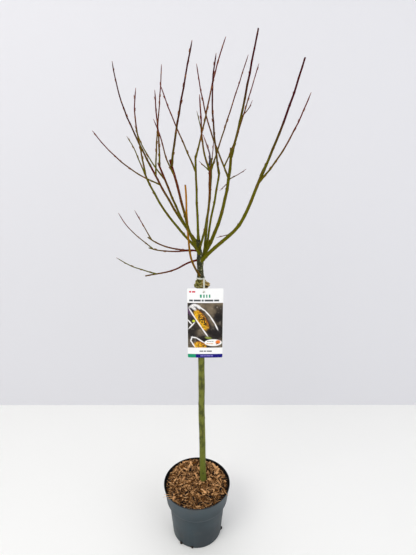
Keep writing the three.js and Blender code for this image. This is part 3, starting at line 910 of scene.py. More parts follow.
class MulchBed:
    """Lays chips and fibres on the CAD mulch's top, inside the wall and clear of the stem."""

    EDGE = 90.5 * MM  # the middles of small chips reach out to here
    WALL = 91.2 * MM  # nothing reaches past here
    CREVICE = 3 * MM  # the dark gap along the wall at both sides
    BANK = 3 * MM  # how much higher the mulch stands at the wall
    STEM_CLEARANCE = 10 * MM
    PATCHES = 55  # patches of damp and dry mulch to a metre
    LONGEST_CHIP = 24 * MM
    THICKEST_CHIP = 2.4 * MM

    def __init__(self, rng):
        self.rng = rng
        self.shape = Shape()
        self.ground = BVHTree.FromObject(frame["nodes"]["bark_mulch"], bpy.context.evaluated_depsgraph_get())
        middles, _ = upright_rod("rootstock_stem", 10 * MM)
        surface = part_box("bark_mulch")[1].z
        self.stem = middles[np.argmin(np.abs(middles[:, 2] - surface))][:2]

    def height(self, x, y):
        """The mulch's height, banked up a little towards the wall."""
        hit, _, _, _ = self.ground.ray_cast(Vector((x, y, 1.0)), Vector((0, 0, -1)))
        ground = hit.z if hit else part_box("bark_mulch")[1].z
        return ground + self.BANK * min(1, math.hypot(x, y) / self.EDGE) ** 5

    def free_spot(self, reach):
        """A place where something that reaches this far from its middle lies clear."""
        while True:
            angle = self.rng.random() * FULL_TURN
            edge = self.EDGE - 0.2 * reach - self.CREVICE * math.cos(angle) ** 2
            radius = edge * math.sqrt(self.rng.random())
            x, y = radius * math.cos(angle), radius * math.sin(angle)
            if math.hypot(x - self.stem[0], y - self.stem[1]) > self.STEM_CLEARANCE + 0.3 * reach:
                return x, y

    def patches_and_front_shade(self, x, y):
        """How much paler or darker the mulch is at a place: in patches, and darker towards the front as
        painted shade under the rim.
        """
        patches = noise.noise(Vector((x, y, 0)) * self.PATCHES)
        # The second term is painted shade: darker towards the front.
        return 0.5 * patches - 0.26 * min(1, max(0, -y / self.EDGE))

    def lay(self, points, faces, x, y, heading, tilt, lift, tone, shade):
        """Adds a chip or fibre, turned, tilted and moved on to the mulch."""
        turn = Matrix.Rotation(heading, 3, "Z")
        turn = turn @ Matrix.Rotation(tilt[0], 3, "Y") @ Matrix.Rotation(tilt[1], 3, "X")
        placed = points @ np.array(turn).T
        lowest = placed[:, 2].min()
        placed += (x, y, self.height(x, y) + lift - 0.35 * lowest)
        out = np.hypot(placed[:, 0], placed[:, 1])
        placed[:, :2] *= np.minimum(1, self.WALL / out)[:, None]
        self.shape.add(placed, faces, 0, place=points + shade, tone=tone)

    def chips(self, count, middling):
        rings, sides = 5, 5
        faces = closed_tube_faces(rings, sides)
        for _ in range(count):
            size = min(middling * self.rng.lognormal(0, 0.45), self.LONGEST_CHIP)
            width = size * self.rng.uniform(0.18, 0.5)
            thick = min(width * self.rng.uniform(0.25, 0.6), self.THICKEST_CHIP)
            points = chip_rings(self.rng, size, width, thick, rings, sides)
            x, y = self.free_spot(size)
            tilt = self.rng.normal(0, 0.3), self.rng.normal(0, 0.6)
            lift = self.rng.uniform(-2.0, 2.4) * MM
            # A chip's tone is random, but lower-lying chips are darker, as painted shade between the chips;
            # the patches and the front shade are added.
            tone = self.rng.normal(0.36 + 0.14 * lift / MM, 0.46) + self.patches_and_front_shade(x, y)
            tone = np.clip(tone, -0.3, 1.35)
            shade = self.rng.uniform(-1, 1, 3)
            heading = self.rng.random() * FULL_TURN
            self.lay(points, faces, x, y, heading, tilt, lift, tone, shade)

    def strand(self, line, thick):
        """Points and faces of a thin fibre along a line, finer at both ends."""
        rings, sides = len(line), 4
        _, across, up = line_frames(line)
        radii = thick * (1 - 0.6 * np.linspace(-1, 1, rings) ** 2)
        directions = outward_directions(across, up, round_angles(sides))
        points = line[:, None] + radii[:, None, None] * directions
        return points.reshape(-1, 3), closed_tube_faces(rings, sides)

    def fibres(self, count):
        share = np.linspace(-0.5, 0.5, 8)
        for _ in range(count):
            length = self.rng.uniform(6, 24) * MM
            bow = (2 * share) ** 2
            bend = self.rng.uniform(-0.25, 0.25)
            s_bend = self.rng.uniform(-0.12, 0.12)
            sideways = bend * bow + s_bend * np.sin(FULL_TURN * share)
            upwards = self.rng.uniform(-0.05, 0.12) * bow
            line = length * np.stack([share, sideways, upwards], axis=1)
            points, faces = self.strand(line - line.mean(axis=0), self.rng.uniform(0.25, 0.6) * MM)
            x, y = self.free_spot(length)
            tilt = self.rng.normal(0, 0.08), self.rng.normal(0, 0.2)
            tone = np.clip(self.rng.normal(0.7, 0.3), 0, 1.15)
            shade = self.rng.uniform(-1, 1, 3)
            heading = self.rng.random() * FULL_TURN
            lift = self.rng.uniform(0.5, 3.6) * MM
            self.lay(points, faces, x, y, heading, tilt, lift, tone, shade)

    # Heading in degrees, and inner and outer reach in millimetres, of each fibre over the rim.
    STRAWS = ((214, 74, 107), (209, 82, 101), (219, 80, 99), (-28, 84, 101))

    def straws(self):
        """Long fibres that have slipped over the rim."""
        rim, _, rim_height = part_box("pot")[1]
        top = rim_height + 0.6 * MM
        for heading, inner, outer in self.STRAWS:
            reach = np.linspace(inner, outer, 9) * MM
            turn = math.radians(heading) - 7 * (reach - rim)
            height = top - 26 * (reach - rim) ** 2
            line = np.stack([reach * np.cos(turn), reach * np.sin(turn), height], axis=1)
            points, faces = self.strand(line, 0.8 * MM)
            self.shape.add(points, faces, 0, place=points, tone=0.85)

    def ground_disc(self):
        """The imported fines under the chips: a closed disc with a crumbly top."""
        rings, sides = 46, 120
        low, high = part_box("bark_mulch")
        radius = min(high.x, high.y) - 0.2 * MM
        points = [[0, 0, low.z]]
        for height in (low.z, low.z + 2 * MM):
            points += level_ring(0, 0, radius, height, sides).tolist()
        for reach in np.linspace(radius, radius / rings, rings):
            for x, y, _ in level_ring(0, 0, reach, 0, sides):
                rough = noise.fractal(Vector((x, y, 0)) * 260, 0.7, 2.0, 4)
                top = self.height(0.97 * x, 0.97 * y)
                points.append([x, y, top - 2.6 * MM + 1.1 * MM * rough])
        points.append([0, 0, points[-1][2]])
        faces = fan(0, 1, sides, False) + tube_faces(rings + 2, sides, 1)
        last = len(points) - 1
        faces += fan(last, last - sides, sides, True)
        self.shape.add(points, faces, 0, tone=-0.05)


class WILLOW_OT_mulch(bpy.types.Operator):
    """Fill the pot with compost and strew bark chips and fibres over it"""

    bl_idname = "willow.mulch"
    bl_label = "Mulch"

    def execute(self, context):
        settings = context.scene.willow_mulch
        soil = compost_material()
        frame["nodes"]["compost"].data.materials.clear()
        frame["nodes"]["compost"].data.materials.append(soil)
        foot_radius = pot_levels()[0][0][0]
        put_piece("compost_crumbs", notch_crumbs(foot_radius), [soil], "compost", 180, replaces=False)
        bed = MulchBed(np.random.default_rng(SEED))
        bed.ground_disc()
        bed.chips(settings.chips, settings.chip_length)
        bed.fibres(settings.fibres)
        bed.straws()
        mesh = bed.shape.mesh("bark_mulch_bed")
        put_piece("bark_mulch_bed", mesh, [mulch_material(settings)], "bark_mulch")
        return {"FINISHED"}


# ---- stem, graft and old wood -------------------------------------------------------------------


def round_points(line, radii, sides):
    """Points round a line, with a radius for each point of each ring."""
    _, across, up = line_frames(line)
    return line[:, None] + radii[:, :, None] * outward_directions(across, up, round_angles(sides))


def straightened(along, angles, radius, offset):
    """Where each point of a tube would be if the tube were drawn out straight."""
    s = np.repeat(along, len(angles))
    around = np.tile(angles, len(along))
    return np.stack([radius * np.cos(around), radius * np.sin(around), s], axis=1) + offset


def ripple(along, angles, scale_round, scale_long, seed):
    """Uneven growth over a tube, about -1 to 1."""
    made = np.zeros((len(along), len(angles)))
    for i, s in enumerate(along):
        for j, a in enumerate(angles):
            spot = Vector((math.cos(a) * scale_round, math.sin(a) * scale_round, s / scale_long + seed))
            made[i, j] = noise.noise(spot)
    return made


def angle_gap(angles, wanted):
    return (angles - wanted + math.pi) % FULL_TURN - math.pi


def bud_scars(along, angles, radius, spots, height, reach):
    """Raised eyes on a stem where buds were, and a mask of their dark middles."""
    raised = np.zeros((len(along), len(angles)))
    mask = np.zeros_like(raised)
    for s, around in spots:
        wide = angle_gap(angles, around)[None, :] * radius / (1.25 * reach)
        tall = (along[:, None] - s) / reach
        distance = wide**2 + tall**2
        raised += height * np.exp(-distance) - 0.45 * height * np.exp(-distance * 7)
        below = wide**2 + ((along[:, None] - s + 1.1 * reach) / (0.35 * reach)) ** 2
        raised += 0.35 * height * np.exp(-below)
        mask = np.maximum(mask, np.exp(-distance * 1.6))
    return raised, mask


def closed_tube(shape, rings, finish, **values):
    """Adds a tube with both ends closed flat. rings is an array of ring, side, corner."""
    count, sides, _ = rings.shape
    points = np.concatenate([rings.reshape(-1, 3), [rings[0].mean(axis=0)], [rings[-1].mean(axis=0)]])
    faces = tube_faces(count, sides)
    faces += fan(count * sides, 0, sides, False)
    faces += fan(count * sides + 1, (count - 1) * sides, sides, True)
    full = {}
    for name, value in values.items():
        value = np.asarray(value, float)
        if value.ndim:
            value = np.concatenate([value, value[:1], value[-1:]])
        full[name] = value
    shape.add(points, faces, finish, **full)


def stem_material(settings):
    made, tree, shader = new_material("stem_bark")
    place = read(tree, "place")
    grain = use_group(tree, "Bark Grain", {"Place": place, "Streaks": 0.5, "Specks": 0.55})
    colour = blend(tree, spread(tree, grain["Mottle"], 0.42, 0.66), settings.stem[:], settings.stem_dark[:])
    colour = blend(tree, read(tree, "ripe"), colour, settings.stem_foot[:])
    bands = clouds(tree, stretched(tree, place, (40, 40, 420)), 1.0, 3.0)
    colour = blend(tree, spread(tree, bands, 0.6, 0.75, 0.0, 0.22), colour, paint("8d8d4c"))
    colour = blend(tree, sums(tree, "MULTIPLY", grain["Speck"], 0.6), colour, paint("a79c6c"))
    flecks = use_group(tree, "Bark Grain", {"Place": place, "Streaks": 1.4, "Specks": 0.35})
    colour = blend(tree, sums(tree, "MULTIPLY", flecks["Speck"], 0.6), colour, paint("2f3012"))
    colour = blend(tree, spread(tree, flecks["Streak"], 0.5, 0.8, 0.0, 0.5), colour, paint("3c4014"))
    scars = sums(tree, "MULTIPLY", read(tree, "tone"), 0.75)
    colour = blend(tree, scars, colour, paint("2e2c1a"))
    dirty = use_group(tree, "Grime", {"Place": object_place(tree), "Clean": colour, "Amount": 0.25})
    rough = spread(tree, grain["Mottle"], 0.2, 0.8, 0.5, 0.68)
    height = sums(tree, "MULTIPLY_ADD", grain["Speck"], 0.7, grain["Streak"])
    finish(tree, shader, dirty["Colour"], rough, height, 0.15 * MM)
    shader.inputs["Specular IOR Level"].default_value = 0.25
    return made


def old_material(settings):
    made, tree, shader = new_material("old_wood_bark")
    place = read(tree, "place")
    grain = use_group(tree, "Bark Grain", {"Place": place, "Streaks": 0.35, "Specks": 0.35})
    colour = blend(tree, spread(tree, grain["Mottle"], 0.35, 0.65), settings.old[:], paint("2c2e1c"))
    lichen = spread(tree, clouds(tree, place, 170.0, 4.0, 0.65), 0.57, 0.66)
    colour = blend(tree, sums(tree, "MULTIPLY", lichen, 0.85), colour, settings.old_pale[:])
    colour = blend(tree, sums(tree, "MULTIPLY", grain["Speck"], 0.6), colour, paint("c2b795"))
    # tone carries painted shade in the fissures, with the scars' dark middles and a darkening near the top.
    colour = blend(tree, read(tree, "tone"), colour, paint("1d1b17"))
    height = sums(tree, "MULTIPLY_ADD", lichen, 0.5, grain["Streak"])
    finish(tree, shader, colour, 0.8, height, 0.3 * MM, 0.9)
    shader.inputs["Specular IOR Level"].default_value = 0.25
    return made


def callus_material(settings):
    made, tree, shader = new_material("graft_callus")
    place = object_place(tree)
    patches = clouds(tree, place, 130.0, 4.0, 0.65)
    dry = sums(tree, "MULTIPLY_ADD", sums(tree, "SUBTRACT", patches, 0.5), 1.4, read(tree, "ripe"))
    colour = blend(tree, spread(tree, dry, 0.3, 0.75), settings.callus_green[:], settings.callus[:])
    scabs = spread(tree, clouds(tree, place, 300.0, 4.0, 0.7), 0.53, 0.64)
    colour = blend(tree, sums(tree, "MULTIPLY", scabs, 0.85), colour, paint("3d3412"))
    pale = spread(tree, clouds(tree, place, 190.0, 3.0), 0.53, 0.62)
    colour = blend(tree, sums(tree, "MULTIPLY", pale, 0.75), colour, paint("e6d9ae"))
    shaded_pits = spread(tree, cells(tree, place, 125.0), 0.46, 0.3)
    shaded_pits = sums(tree, "MULTIPLY", shaded_pits, spread(tree, patches, 0.62, 0.52))
    # Painted shade: the pits and the creases, stored as tone, turn near-black.
    colour = blend(tree, sums(tree, "MAXIMUM", shaded_pits, read(tree, "tone")), colour, paint("19140a"))
    height = sums(tree, "MULTIPLY_ADD", patches, 1.5, clouds(tree, place, 700.0, 3.0))
    height = sums(tree, "MULTIPLY_ADD", shaded_pits, -2.0, height)
    finish(tree, shader, colour, 0.85, height, 0.5 * MM, 0.9)
    shader.inputs["Specular IOR Level"].default_value = 0.25
    return made


class WILLOW_OT_stem(bpy.types.Operator):
    """Grow the rootstock's bare stem with its bud scars and mottled bark"""

    bl_idname = "willow.stem"
    bl_label = "Stem"

    LOWEST_SCAR = 26 * MM  # above the soil
    HIGHEST_SCAR = 25 * MM  # below the stem's top
    FOOT_REACH = 150 * MM  # how far up the foot's colour fades out
    WANDER = 0.35 * MM  # how far the stem strays from a straight line

    def execute(self, context):
        settings = context.scene.willow_wood
        rng = np.random.default_rng(SEED + 1)
        line, radii = upright_rod("rootstock_stem", 2.5 * MM)
        along = distances_along(line)
        angles = round_angles(settings.sides)
        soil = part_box("bark_mulch")[1].z - line[0][2]
        at = soil + self.LOWEST_SCAR
        spots = []
        turn = rng.random() * FULL_TURN
        while at < along[-1] - self.HIGHEST_SCAR:
            spots.append((at, turn))
            at += settings.scar_spacing * rng.uniform(0.7, 1.25)
            turn += math.radians(BUD_TURN + rng.uniform(-12, 12))
        raised, mask = bud_scars(along, angles, radii.mean(), spots, 0.9 * MM, 3.4 * MM)
        broad = ripple(along, angles, 0.7, 45 * MM, 3.0)
        ridges = ripple(along, angles, 2.6, 30 * MM, 9.0)
        flare = 0.6 * MM * np.exp(-(((along - soil + 4 * MM) / (16 * MM)) ** 2))
        full = radii[:, None] + raised + 0.45 * MM * broad + 0.16 * MM * ridges + flare[:, None]
        wander = np.stack([np.sin(along / 0.031), np.cos(along / 0.043), np.zeros(len(along))], axis=1)
        points = round_points(line + self.WANDER * wander, full, settings.sides)
        foot = np.clip(1 - (along - soil) / self.FOOT_REACH, 0, 1)
        shape = Shape()
        place = straightened(along, angles, radii.mean(), rng.uniform(-1, 1, 3))
        ripe = np.repeat(foot, len(angles))
        closed_tube(shape, points, 0, place=place, ripe=ripe, tone=mask.ravel())
        mesh = shape.mesh("stem_wood")
        put_piece("stem_wood", mesh, [stem_material(settings)], "rootstock_stem", 60)
        return {"FINISHED"}


class WILLOW_OT_graft(bpy.types.Operator):
    """Swell the knobbly callus at the graft and grow the old wood above it"""

    bl_idname = "willow.graft"
    bl_label = "Graft and Old Wood"

    # How closely warts and broad lobes follow one another on the callus, and how far they stand out.
    WARTS, WART_HEIGHT = 170, 2.1 * MM
    LOBES, LOBE_HEIGHT = 95, 2.2 * MM
    STRAP_ROOM = 1.3 * MM  # left free between the card and the callus
    EYE_SPACING = 15 * MM  # along the old wood

    def execute(self, context):
        settings = context.scene.willow_wood
        self.callus(settings)
        self.old_wood(settings)
        return {"FINISHED"}

    def callus(self, settings):
        lumps = frame["nodes"]["graft_callus"].data.copy()
        remesh = ("REMESH", {"mode": "VOXEL", "voxel_size": 0.8 * MM})
        smooth = ("SMOOTH", {"factor": 0.6, "iterations": 5})
        mesh = evaluated_copy(lumps, [remesh, smooth])
        count = len(mesh.vertices)
        points = np.zeros(count * 3)
        normals = np.zeros(count * 3)
        mesh.vertices.foreach_get("co", points)
        mesh.vertices.foreach_get("normal", normals)
        points, normals = points.reshape(-1, 3), normals.reshape(-1, 3)
        warts = np.array([noise.fractal(Vector(p) * self.WARTS, 0.7, 2.1, 4) for p in points])
        lobes = np.array([noise.noise(Vector(p) * self.LOBES) for p in points])
        points += normals * (self.WART_HEIGHT * warts + self.LOBE_HEIGHT * lobes)[:, None]
        behind_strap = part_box("label_card")[1].y + self.STRAP_ROOM
        points[:, 1] = np.maximum(points[:, 1], behind_strap)
        mesh.vertices.foreach_set("co", points.ravel())
        pairs = np.zeros(len(mesh.edges) * 2, int)
        mesh.edges.foreach_get("vertices", pairs)
        pairs = pairs.reshape(-1, 2)
        hollow = np.zeros(count)
        for a, b in (pairs.T, pairs.T[::-1]):
            np.add.at(hollow, a, (unit(points[b] - points[a]) * normals[a]).sum(axis=1))
        # Painted shade: a value that rises in the callus's hollows and creases, stored as tone to darken
        # them.
        crease_shade = np.clip(hollow / 4 * 4.5 - 0.05, 0, 1)
        low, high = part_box("graft_callus")
        dry = np.clip((points[:, 0] - (low.x + high.x) / 2) / (14 * MM) + 0.5, 0, 1)
        for name, values in (("tone", crease_shade), ("ripe", dry)):
            mesh.attributes.new(name, "FLOAT", "POINT").data.foreach_set("value", values.astype(np.float32))
        mesh.materials.clear()
        mesh.name = "callus_lumps"
        put_piece("callus_lumps", mesh, [callus_material(settings)], "graft_callus", 180)

    def old_wood(self, settings):
        rng = np.random.default_rng(SEED + 2)
        line, radii = upright_rod("old_wood", 1.4 * MM)
        along = distances_along(line)
        angles = round_angles(settings.sides)
        places = np.arange(8 * MM, along[-1] - 8 * MM, self.EYE_SPACING)
        spots = [(at, rng.random() * FULL_TURN) for at in places]
        raised, mask = bud_scars(along, angles, radii.mean(), spots, 1.0 * MM, 3.6 * MM)
        fissures = ripple(along, angles, 3.4, 13 * MM, 21.0)
        lumps = ripple(along, angles, 0.8, 16 * MM, 33.0)
        full = radii[:, None] + raised + 0.5 * MM * fissures + 0.7 * MM * lumps
        points = round_points(line, full, settings.sides)
        # Painted shade: the bark darkens in its fissures, where the ripple sinks the surface. The bud scars'
        # dark middles are their own colour.
        dark = np.clip(-1.6 * fissures - 0.25, 0, 0.8) + 0.3 * mask
        near_top = np.clip((along - along[-1] + 16 * MM) / (16 * MM), 0, 1)[:, None] * 0.7
        tone = np.maximum(dark, near_top)
        shape = Shape()
        place = straightened(along, angles, radii.mean(), rng.uniform(-1, 1, 3))
        closed_tube(shape, points, 0, place=place, tone=tone.ravel())
        mesh = shape.mesh("old_wood_trunk")
        put_piece("old_wood_trunk", mesh, [old_material(settings)], "old_wood", 60)


# ---- shoots -------------------------------------------------------------------------------------

# Shoots whose names don't say what they grow from.
GROWS_FROM = {
    "tall_limb_right_twig": "tall_limb_left_twig",
    "back_limb": "tall_limb",
    "inner_limb": "tall_limb",
    "inner_left_limb": "back_left_limb",
}
# Ends of the names of shoots that taper to a tip. The others were cut back.
UNCUT = ("twig", "spur", "dead_end", "front_left_limb_leader")
# Ripeness of the bark at the foot and at the end of a shoot, by its bark.
RIPENESS = {
    "olive_bark": (0.0, 0.3),
    "red_bark": (0.1, 1.15),
    "maroon_bark": (0.35, 1.2),
    "ochre_bark": (0.1, 1.15),
    "dead_bark": (0.0, 0.9),
}
# Shoots that ripen in a way of their own.
OWN_RIPENESS = {
    "right_limb_leader": (-0.1, 1.7),
    "tall_limb_leader": (-0.4, 1.6),
    "front_left_limb": (0.0, 0.95),
    "inner_left_limb": (0.0, 0.9),
    "back_left_limb": (0.0, 0.85),
    "front_limb": (0.0, 0.8),
    "low_limb": (1.0, 0.3),
    "low_limb_fork": (1.0, 0.2),
    "drooping_limb": (0.9, 0.4),
}
SHOOTS = sorted(shoot for shoot, slot in SLOT_OF.items() if slot in RIPENESS)


def parent_of(shoot):
    """The shoot, or the old wood, that a shoot grows from."""
    if shoot in GROWS_FROM:
        return GROWS_FROM[shoot]
    owners = [other for other in SHOOTS if shoot.startswith(other + "_")]
    return max(owners, key=len) if owners else "old_wood"


class Crown:
    """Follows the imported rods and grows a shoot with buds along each."""

    STOUT = 2 * MM  # a shoot with a larger mean radius bears fewer and smaller buds
    LONGEST_LEAD = 46 * MM  # how far from its parent's middle a packed rod may begin

    def __init__(self, settings):
        self.settings = settings
        self.lines = {"old_wood": upright_rod("old_wood", 3 * MM)}

    def line_of(self, shoot):
        """Line and radii of a shoot from the middle of its parent to its end."""
        if shoot not in self.lines:
            self.lines[shoot] = self.joined_line(shoot)
        return self.lines[shoot]

    def joined_line(self, shoot):
        parent, _ = self.line_of(parent_of(shoot))
        middles, radii = rod_rings(shoot)
        gaps = [np.linalg.norm(parent - end, axis=1).min() for end in (middles[0], middles[-1])]
        if gaps[0] > gaps[1]:
            middles, radii = middles[::-1], radii[::-1]
        inwards = unit(middles[0] - middles[1])
        root = self.root_on(parent, middles, inwards)
        span = np.linalg.norm(middles[0] - root)
        if span > 4 * MM:
            count = max(int(span / (8 * MM)), 1)
            slope = unit(middles[0] - root - inwards * span) * span
            lead = [between(t, root, slope, middles[0], -inwards * span) for t in np.arange(count) / count]
            middles = np.concatenate([lead, middles])
            radii = np.concatenate([np.full(count, radii[0]), radii])
        return smooth_line(middles, radii, self.settings.step)

    def root_on(self, parent, middles, inwards):
        """The point of the parent that a rod runs into when it goes on as it bends."""
        bend = inwards - unit(middles[1] - middles[2]) if len(middles) > 2 else np.zeros(3)
        scored = []
        for reach in np.arange(0, self.LONGEST_LEAD, MM):
            spot = middles[0] + inwards * reach + bend * reach**2 / (40 * MM)
            gap = np.linalg.norm(parent - spot, axis=1)
            scored.append((gap.min() + 0.1 * reach, gap.argmin()))
        return parent[min(scored)[1]]

    def surface_start(self, shoot, line):
        """How far along its line a shoot comes out of its parent."""
        parent, radii = self.line_of(parent_of(shoot))
        gaps = np.linalg.norm(line[:, None] - parent[None], axis=2)
        out = (gaps - radii[None]).min(axis=1) > 0
        return distances_along(line)[int(np.argmax(out))] if out.any() else 0.0

    def bud_spots(self, rng, start, length, thick):
        """Where the buds sit: how far along the shoot, and the angle round it."""
        spacing = self.settings.bud_spacing * (1.35 if thick > self.STOUT else 1.0)
        spots = []
        at = start + rng.uniform(9, 16) * MM
        turn = rng.random() * FULL_TURN
        while at < length - 5 * MM:
            spots.append((at, turn % FULL_TURN))
            at += spacing * rng.uniform(0.75, 1.3)
            turn += math.radians(BUD_TURN + rng.uniform(-10, 10))
        return spots

    def girth(self, rng, along, angles, radii, start, spots):
        """Radius at each point: uneven, swollen at the buds and at the collar on the parent."""
        swell = np.zeros(len(along))
        for at, _ in spots:
            swell += 0.1 * np.exp(-(((along - at) / (2.6 * MM)) ** 2))
        collar = 0.32 * np.exp(-np.maximum(along - start, 0) / (4.5 * MM))
        uneven = ripple(along, angles, 0.9, 16 * MM, rng.uniform(0, 90))
        return (radii * (1 + swell + collar))[:, None] * (1 + 0.07 * uneven)

    def sway(self, along, across, up, start, spots, thick):
        """How far the shoot bends away from its buds at each place."""
        amount = min(0.3 * thick, 0.5 * MM)
        ease = np.clip((along - start) / (20 * MM), 0, 1)
        places = [at for at, _ in spots]
        x = np.interp(along, places, [math.cos(turn) for _, turn in spots]) * amount
        y = np.interp(along, places, [math.sin(turn) for _, turn in spots]) * amount
        return (across * x[:, None] + up * y[:, None]) * ease[:, None]

    def slant(self, rng, points, angles, ahead, left, thick):
        """A pruning cut: the end slides back on one side. left is the length still to come."""
        depth = 0.5 * thick * math.tan(math.radians(rng.uniform(22, 40)))
        lean = rng.random() * FULL_TURN
        near_end = np.clip(1 - left / (5 * thick), 0, 1)
        slide = depth * (np.cos(angles - lean) - 1)[None, :] * near_end[:, None]
        return points + ahead[:, None] * slide[:, :, None]

    def grow(self, shoot, materials):
        rng = np.random.default_rng([SEED, SHOOTS.index(shoot)])
        line, radii = self.line_of(shoot)
        along = distances_along(line)
        length = along[-1]
        start = self.surface_start(shoot, line)
        cut = not shoot.endswith(UNCUT)
        thick = radii.mean()
        spots = self.bud_spots(rng, start, length, thick)
        sides = self.settings.sides if thick > 1.2 * MM else self.settings.sides - 2
        angles = round_angles(sides)
        full = self.girth(rng, along, angles, radii, start, spots)
        ahead, across, up = line_frames(line)
        if len(spots) > 1:
            line = line - self.sway(along, across, up, start, spots, thick)
        if not cut:
            taper = np.clip((length - along) / (7 * MM), 0, 1)
            full = full * (0.55 + 0.45 * taper[:, None])
        points = round_points(line, full, sides)
        if cut:
            points = self.slant(rng, points, angles, ahead, length - along, thick)

        low, high = OWN_RIPENESS.get(shoot, RIPENESS[SLOT_OF[shoot]])
        ripe = (low + (high - low) * along / length)[:, None]
        ripe = ripe + 0.12 * outward_directions(across, up, angles)[:, :, 2]
        place = straightened(along, angles, thick, rng.uniform(-2, 2, 3))
        shape = Shape()
        self.wood(shape, points, ahead[-1], place, ripe, cut)
        for at, turn in spots:
            size = self.settings.bud_length * rng.uniform(0.7, 1.15)
            if thick > self.STOUT:
                size *= 0.75
                if rng.random() < 0.35:
                    continue
            i = int(np.argmin(np.abs(along - at)))
            self.bud(shape, line[i], (ahead[i], across[i], up[i]), full[i].mean(), turn, size)
        if not cut:
            tip = line[-1] - ahead[-1] * 1.2 * MM
            size = self.settings.bud_length * rng.uniform(0.75, 1.0)
            width = full[-1].mean() * 1.25
            self.teardrop(shape, tip, ahead[-1], across[-1], up[-1], size, width, 1.0, 0.7)
        mesh = shape.mesh(shoot + "_grown")
        put_piece(shoot + "_grown", mesh, materials, shoot, 50)

    def wood(self, shape, points, direction, place, ripe, cut):
        """The bark and, on a shoot that was cut, the cut face with its pith."""
        rings, sides, _ = points.shape
        foot = points[0].mean(axis=0)
        centre = points[-1].mean(axis=0)
        last = (rings - 1) * sides
        end_first = rings * sides + 1
        bark = tube_faces(rings, sides) + fan(end_first - 1, 0, sides, False)
        if cut:
            spokes = points[-1] - centre
            radius = np.linalg.norm(spokes, axis=1).mean()
            edge = centre + spokes * 0.84 + direction * 0.06 * radius
            pith = centre + spokes * 0.3 + direction * 0.02 * radius
            end = np.concatenate([edge, pith, [centre - direction * 0.12 * radius]])
            end_place, end_ripe = end, np.zeros(len(end))
            end_faces = band(last, end_first, sides) + band(end_first, end_first + sides, sides)
            end_faces += fan(end_first + 2 * sides, end_first + sides, sides, True)
        else:
            end, end_place, end_ripe = [centre], [place[-1]], [ripe[-1, 0]]
            end_faces = fan(end_first, last, sides, True)
        everything = np.concatenate([points.reshape(-1, 3), [foot], end])
        tones = np.zeros(len(everything))
        tones[end_first + sides :] = 1.0
        shape.add(
            everything,
            bark + end_faces,
            [0] * len(bark) + [2 if cut else 0] * len(end_faces),
            place=np.concatenate([place, [place[0]], end_place]),
            ripe=np.concatenate([ripe.ravel(), [ripe[0, 0]], end_ripe]),
            tone=tones,
        )

    def bud(self, shape, middle, frame_there, radius, turn, size):
        """A bud pressed against the shoot, on its leaf scar."""
        ahead, across, up = frame_there
        outwards = across * math.cos(turn) + up * math.sin(turn)
        sideways = np.cross(ahead, outwards)
        width = min(0.2 * size, 0.75 * radius + 0.15 * MM)
        foot = middle + outwards * (radius + 0.15 * width)
        lean = unit(ahead + 0.16 * outwards)
        out = unit(outwards - lean * np.dot(outwards, lean))
        self.teardrop(shape, foot, lean, sideways, out, size, width, 0.78, 0.25)
        scar = foot - ahead * 1.5 * width
        tilt = unit(ahead + 0.5 * outwards)
        self.teardrop(shape, scar, tilt, sideways, out, 2 * width, 0.9 * width, 0.6, 0.9)

    def teardrop(self, shape, foot, axis, sideways, out, length, width, flat, tone):
        """A pointed egg: its foot, axis, two directions across it and how flat it is outwards."""
        shares = np.array([0.0, 0.1, 0.26, 0.45, 0.65, 0.83, 0.95])
        girth = np.array([0.45, 0.8, 1.0, 0.95, 0.7, 0.4, 0.16])
        sides = 7
        spokes = outward_directions(sideways[None], flat * out[None], round_angles(sides))
        rings = foot + axis * (length * shares)[:, None, None] + (width * girth)[:, None, None] * spokes
        points = np.concatenate([rings.reshape(-1, 3), [foot - axis * 0.04 * length], [foot + axis * length]])
        count = len(shares) * sides
        faces = tube_faces(len(shares), sides)
        inside_out = bool(np.dot(np.cross(sideways, out), axis) < 0)
        if inside_out:
            faces = [face[::-1] for face in faces]
        faces += fan(count, 0, sides, inside_out) + fan(count + 1, count - sides, sides, not inside_out)
        tones = np.concatenate([np.repeat(tone + 0.7 * shares, sides), [tone, tone + 0.7]])
        shape.add(points, faces, 1, tone=tones)


class WILLOW_OT_shoots(bpy.types.Operator):
    """Grow the crown's limbs and twigs with their buds, tips and pruning cuts"""

    bl_idname = "willow.shoots"
    bl_label = "Shoots"

    def execute(self, context):
        settings = context.scene.willow_shoots
        red, maroon = settings.red[:], settings.maroon[:]
        olive, ochre, dead = settings.olive[:], settings.ochre[:], settings.dead[:]
        barks = {
            "olive_bark": shoot_material("olive_bark", olive, red, paint("9a8f45")),
            "red_bark": shoot_material("red_bark", paint("5e560a"), red, paint("8f5a3c")),
            "maroon_bark": shoot_material("maroon_bark", paint("565106"), maroon, paint("6e3a30")),
            "ochre_bark": shoot_material("ochre_bark", paint("4c3d06"), ochre, paint("d09a48")),
            "dead_bark": shoot_material("dead_bark", dead, paint("8d6a66"), paint("6d6d76")),
        }
        shared = [bud_material(), cut_material()]
        crown = Crown(settings)
        for shoot in SHOOTS:
            crown.grow(shoot, [barks[SLOT_OF[shoot]], *shared])
        return {"FINISHED"}


# ---- label --------------------------------------------------------------------------------------


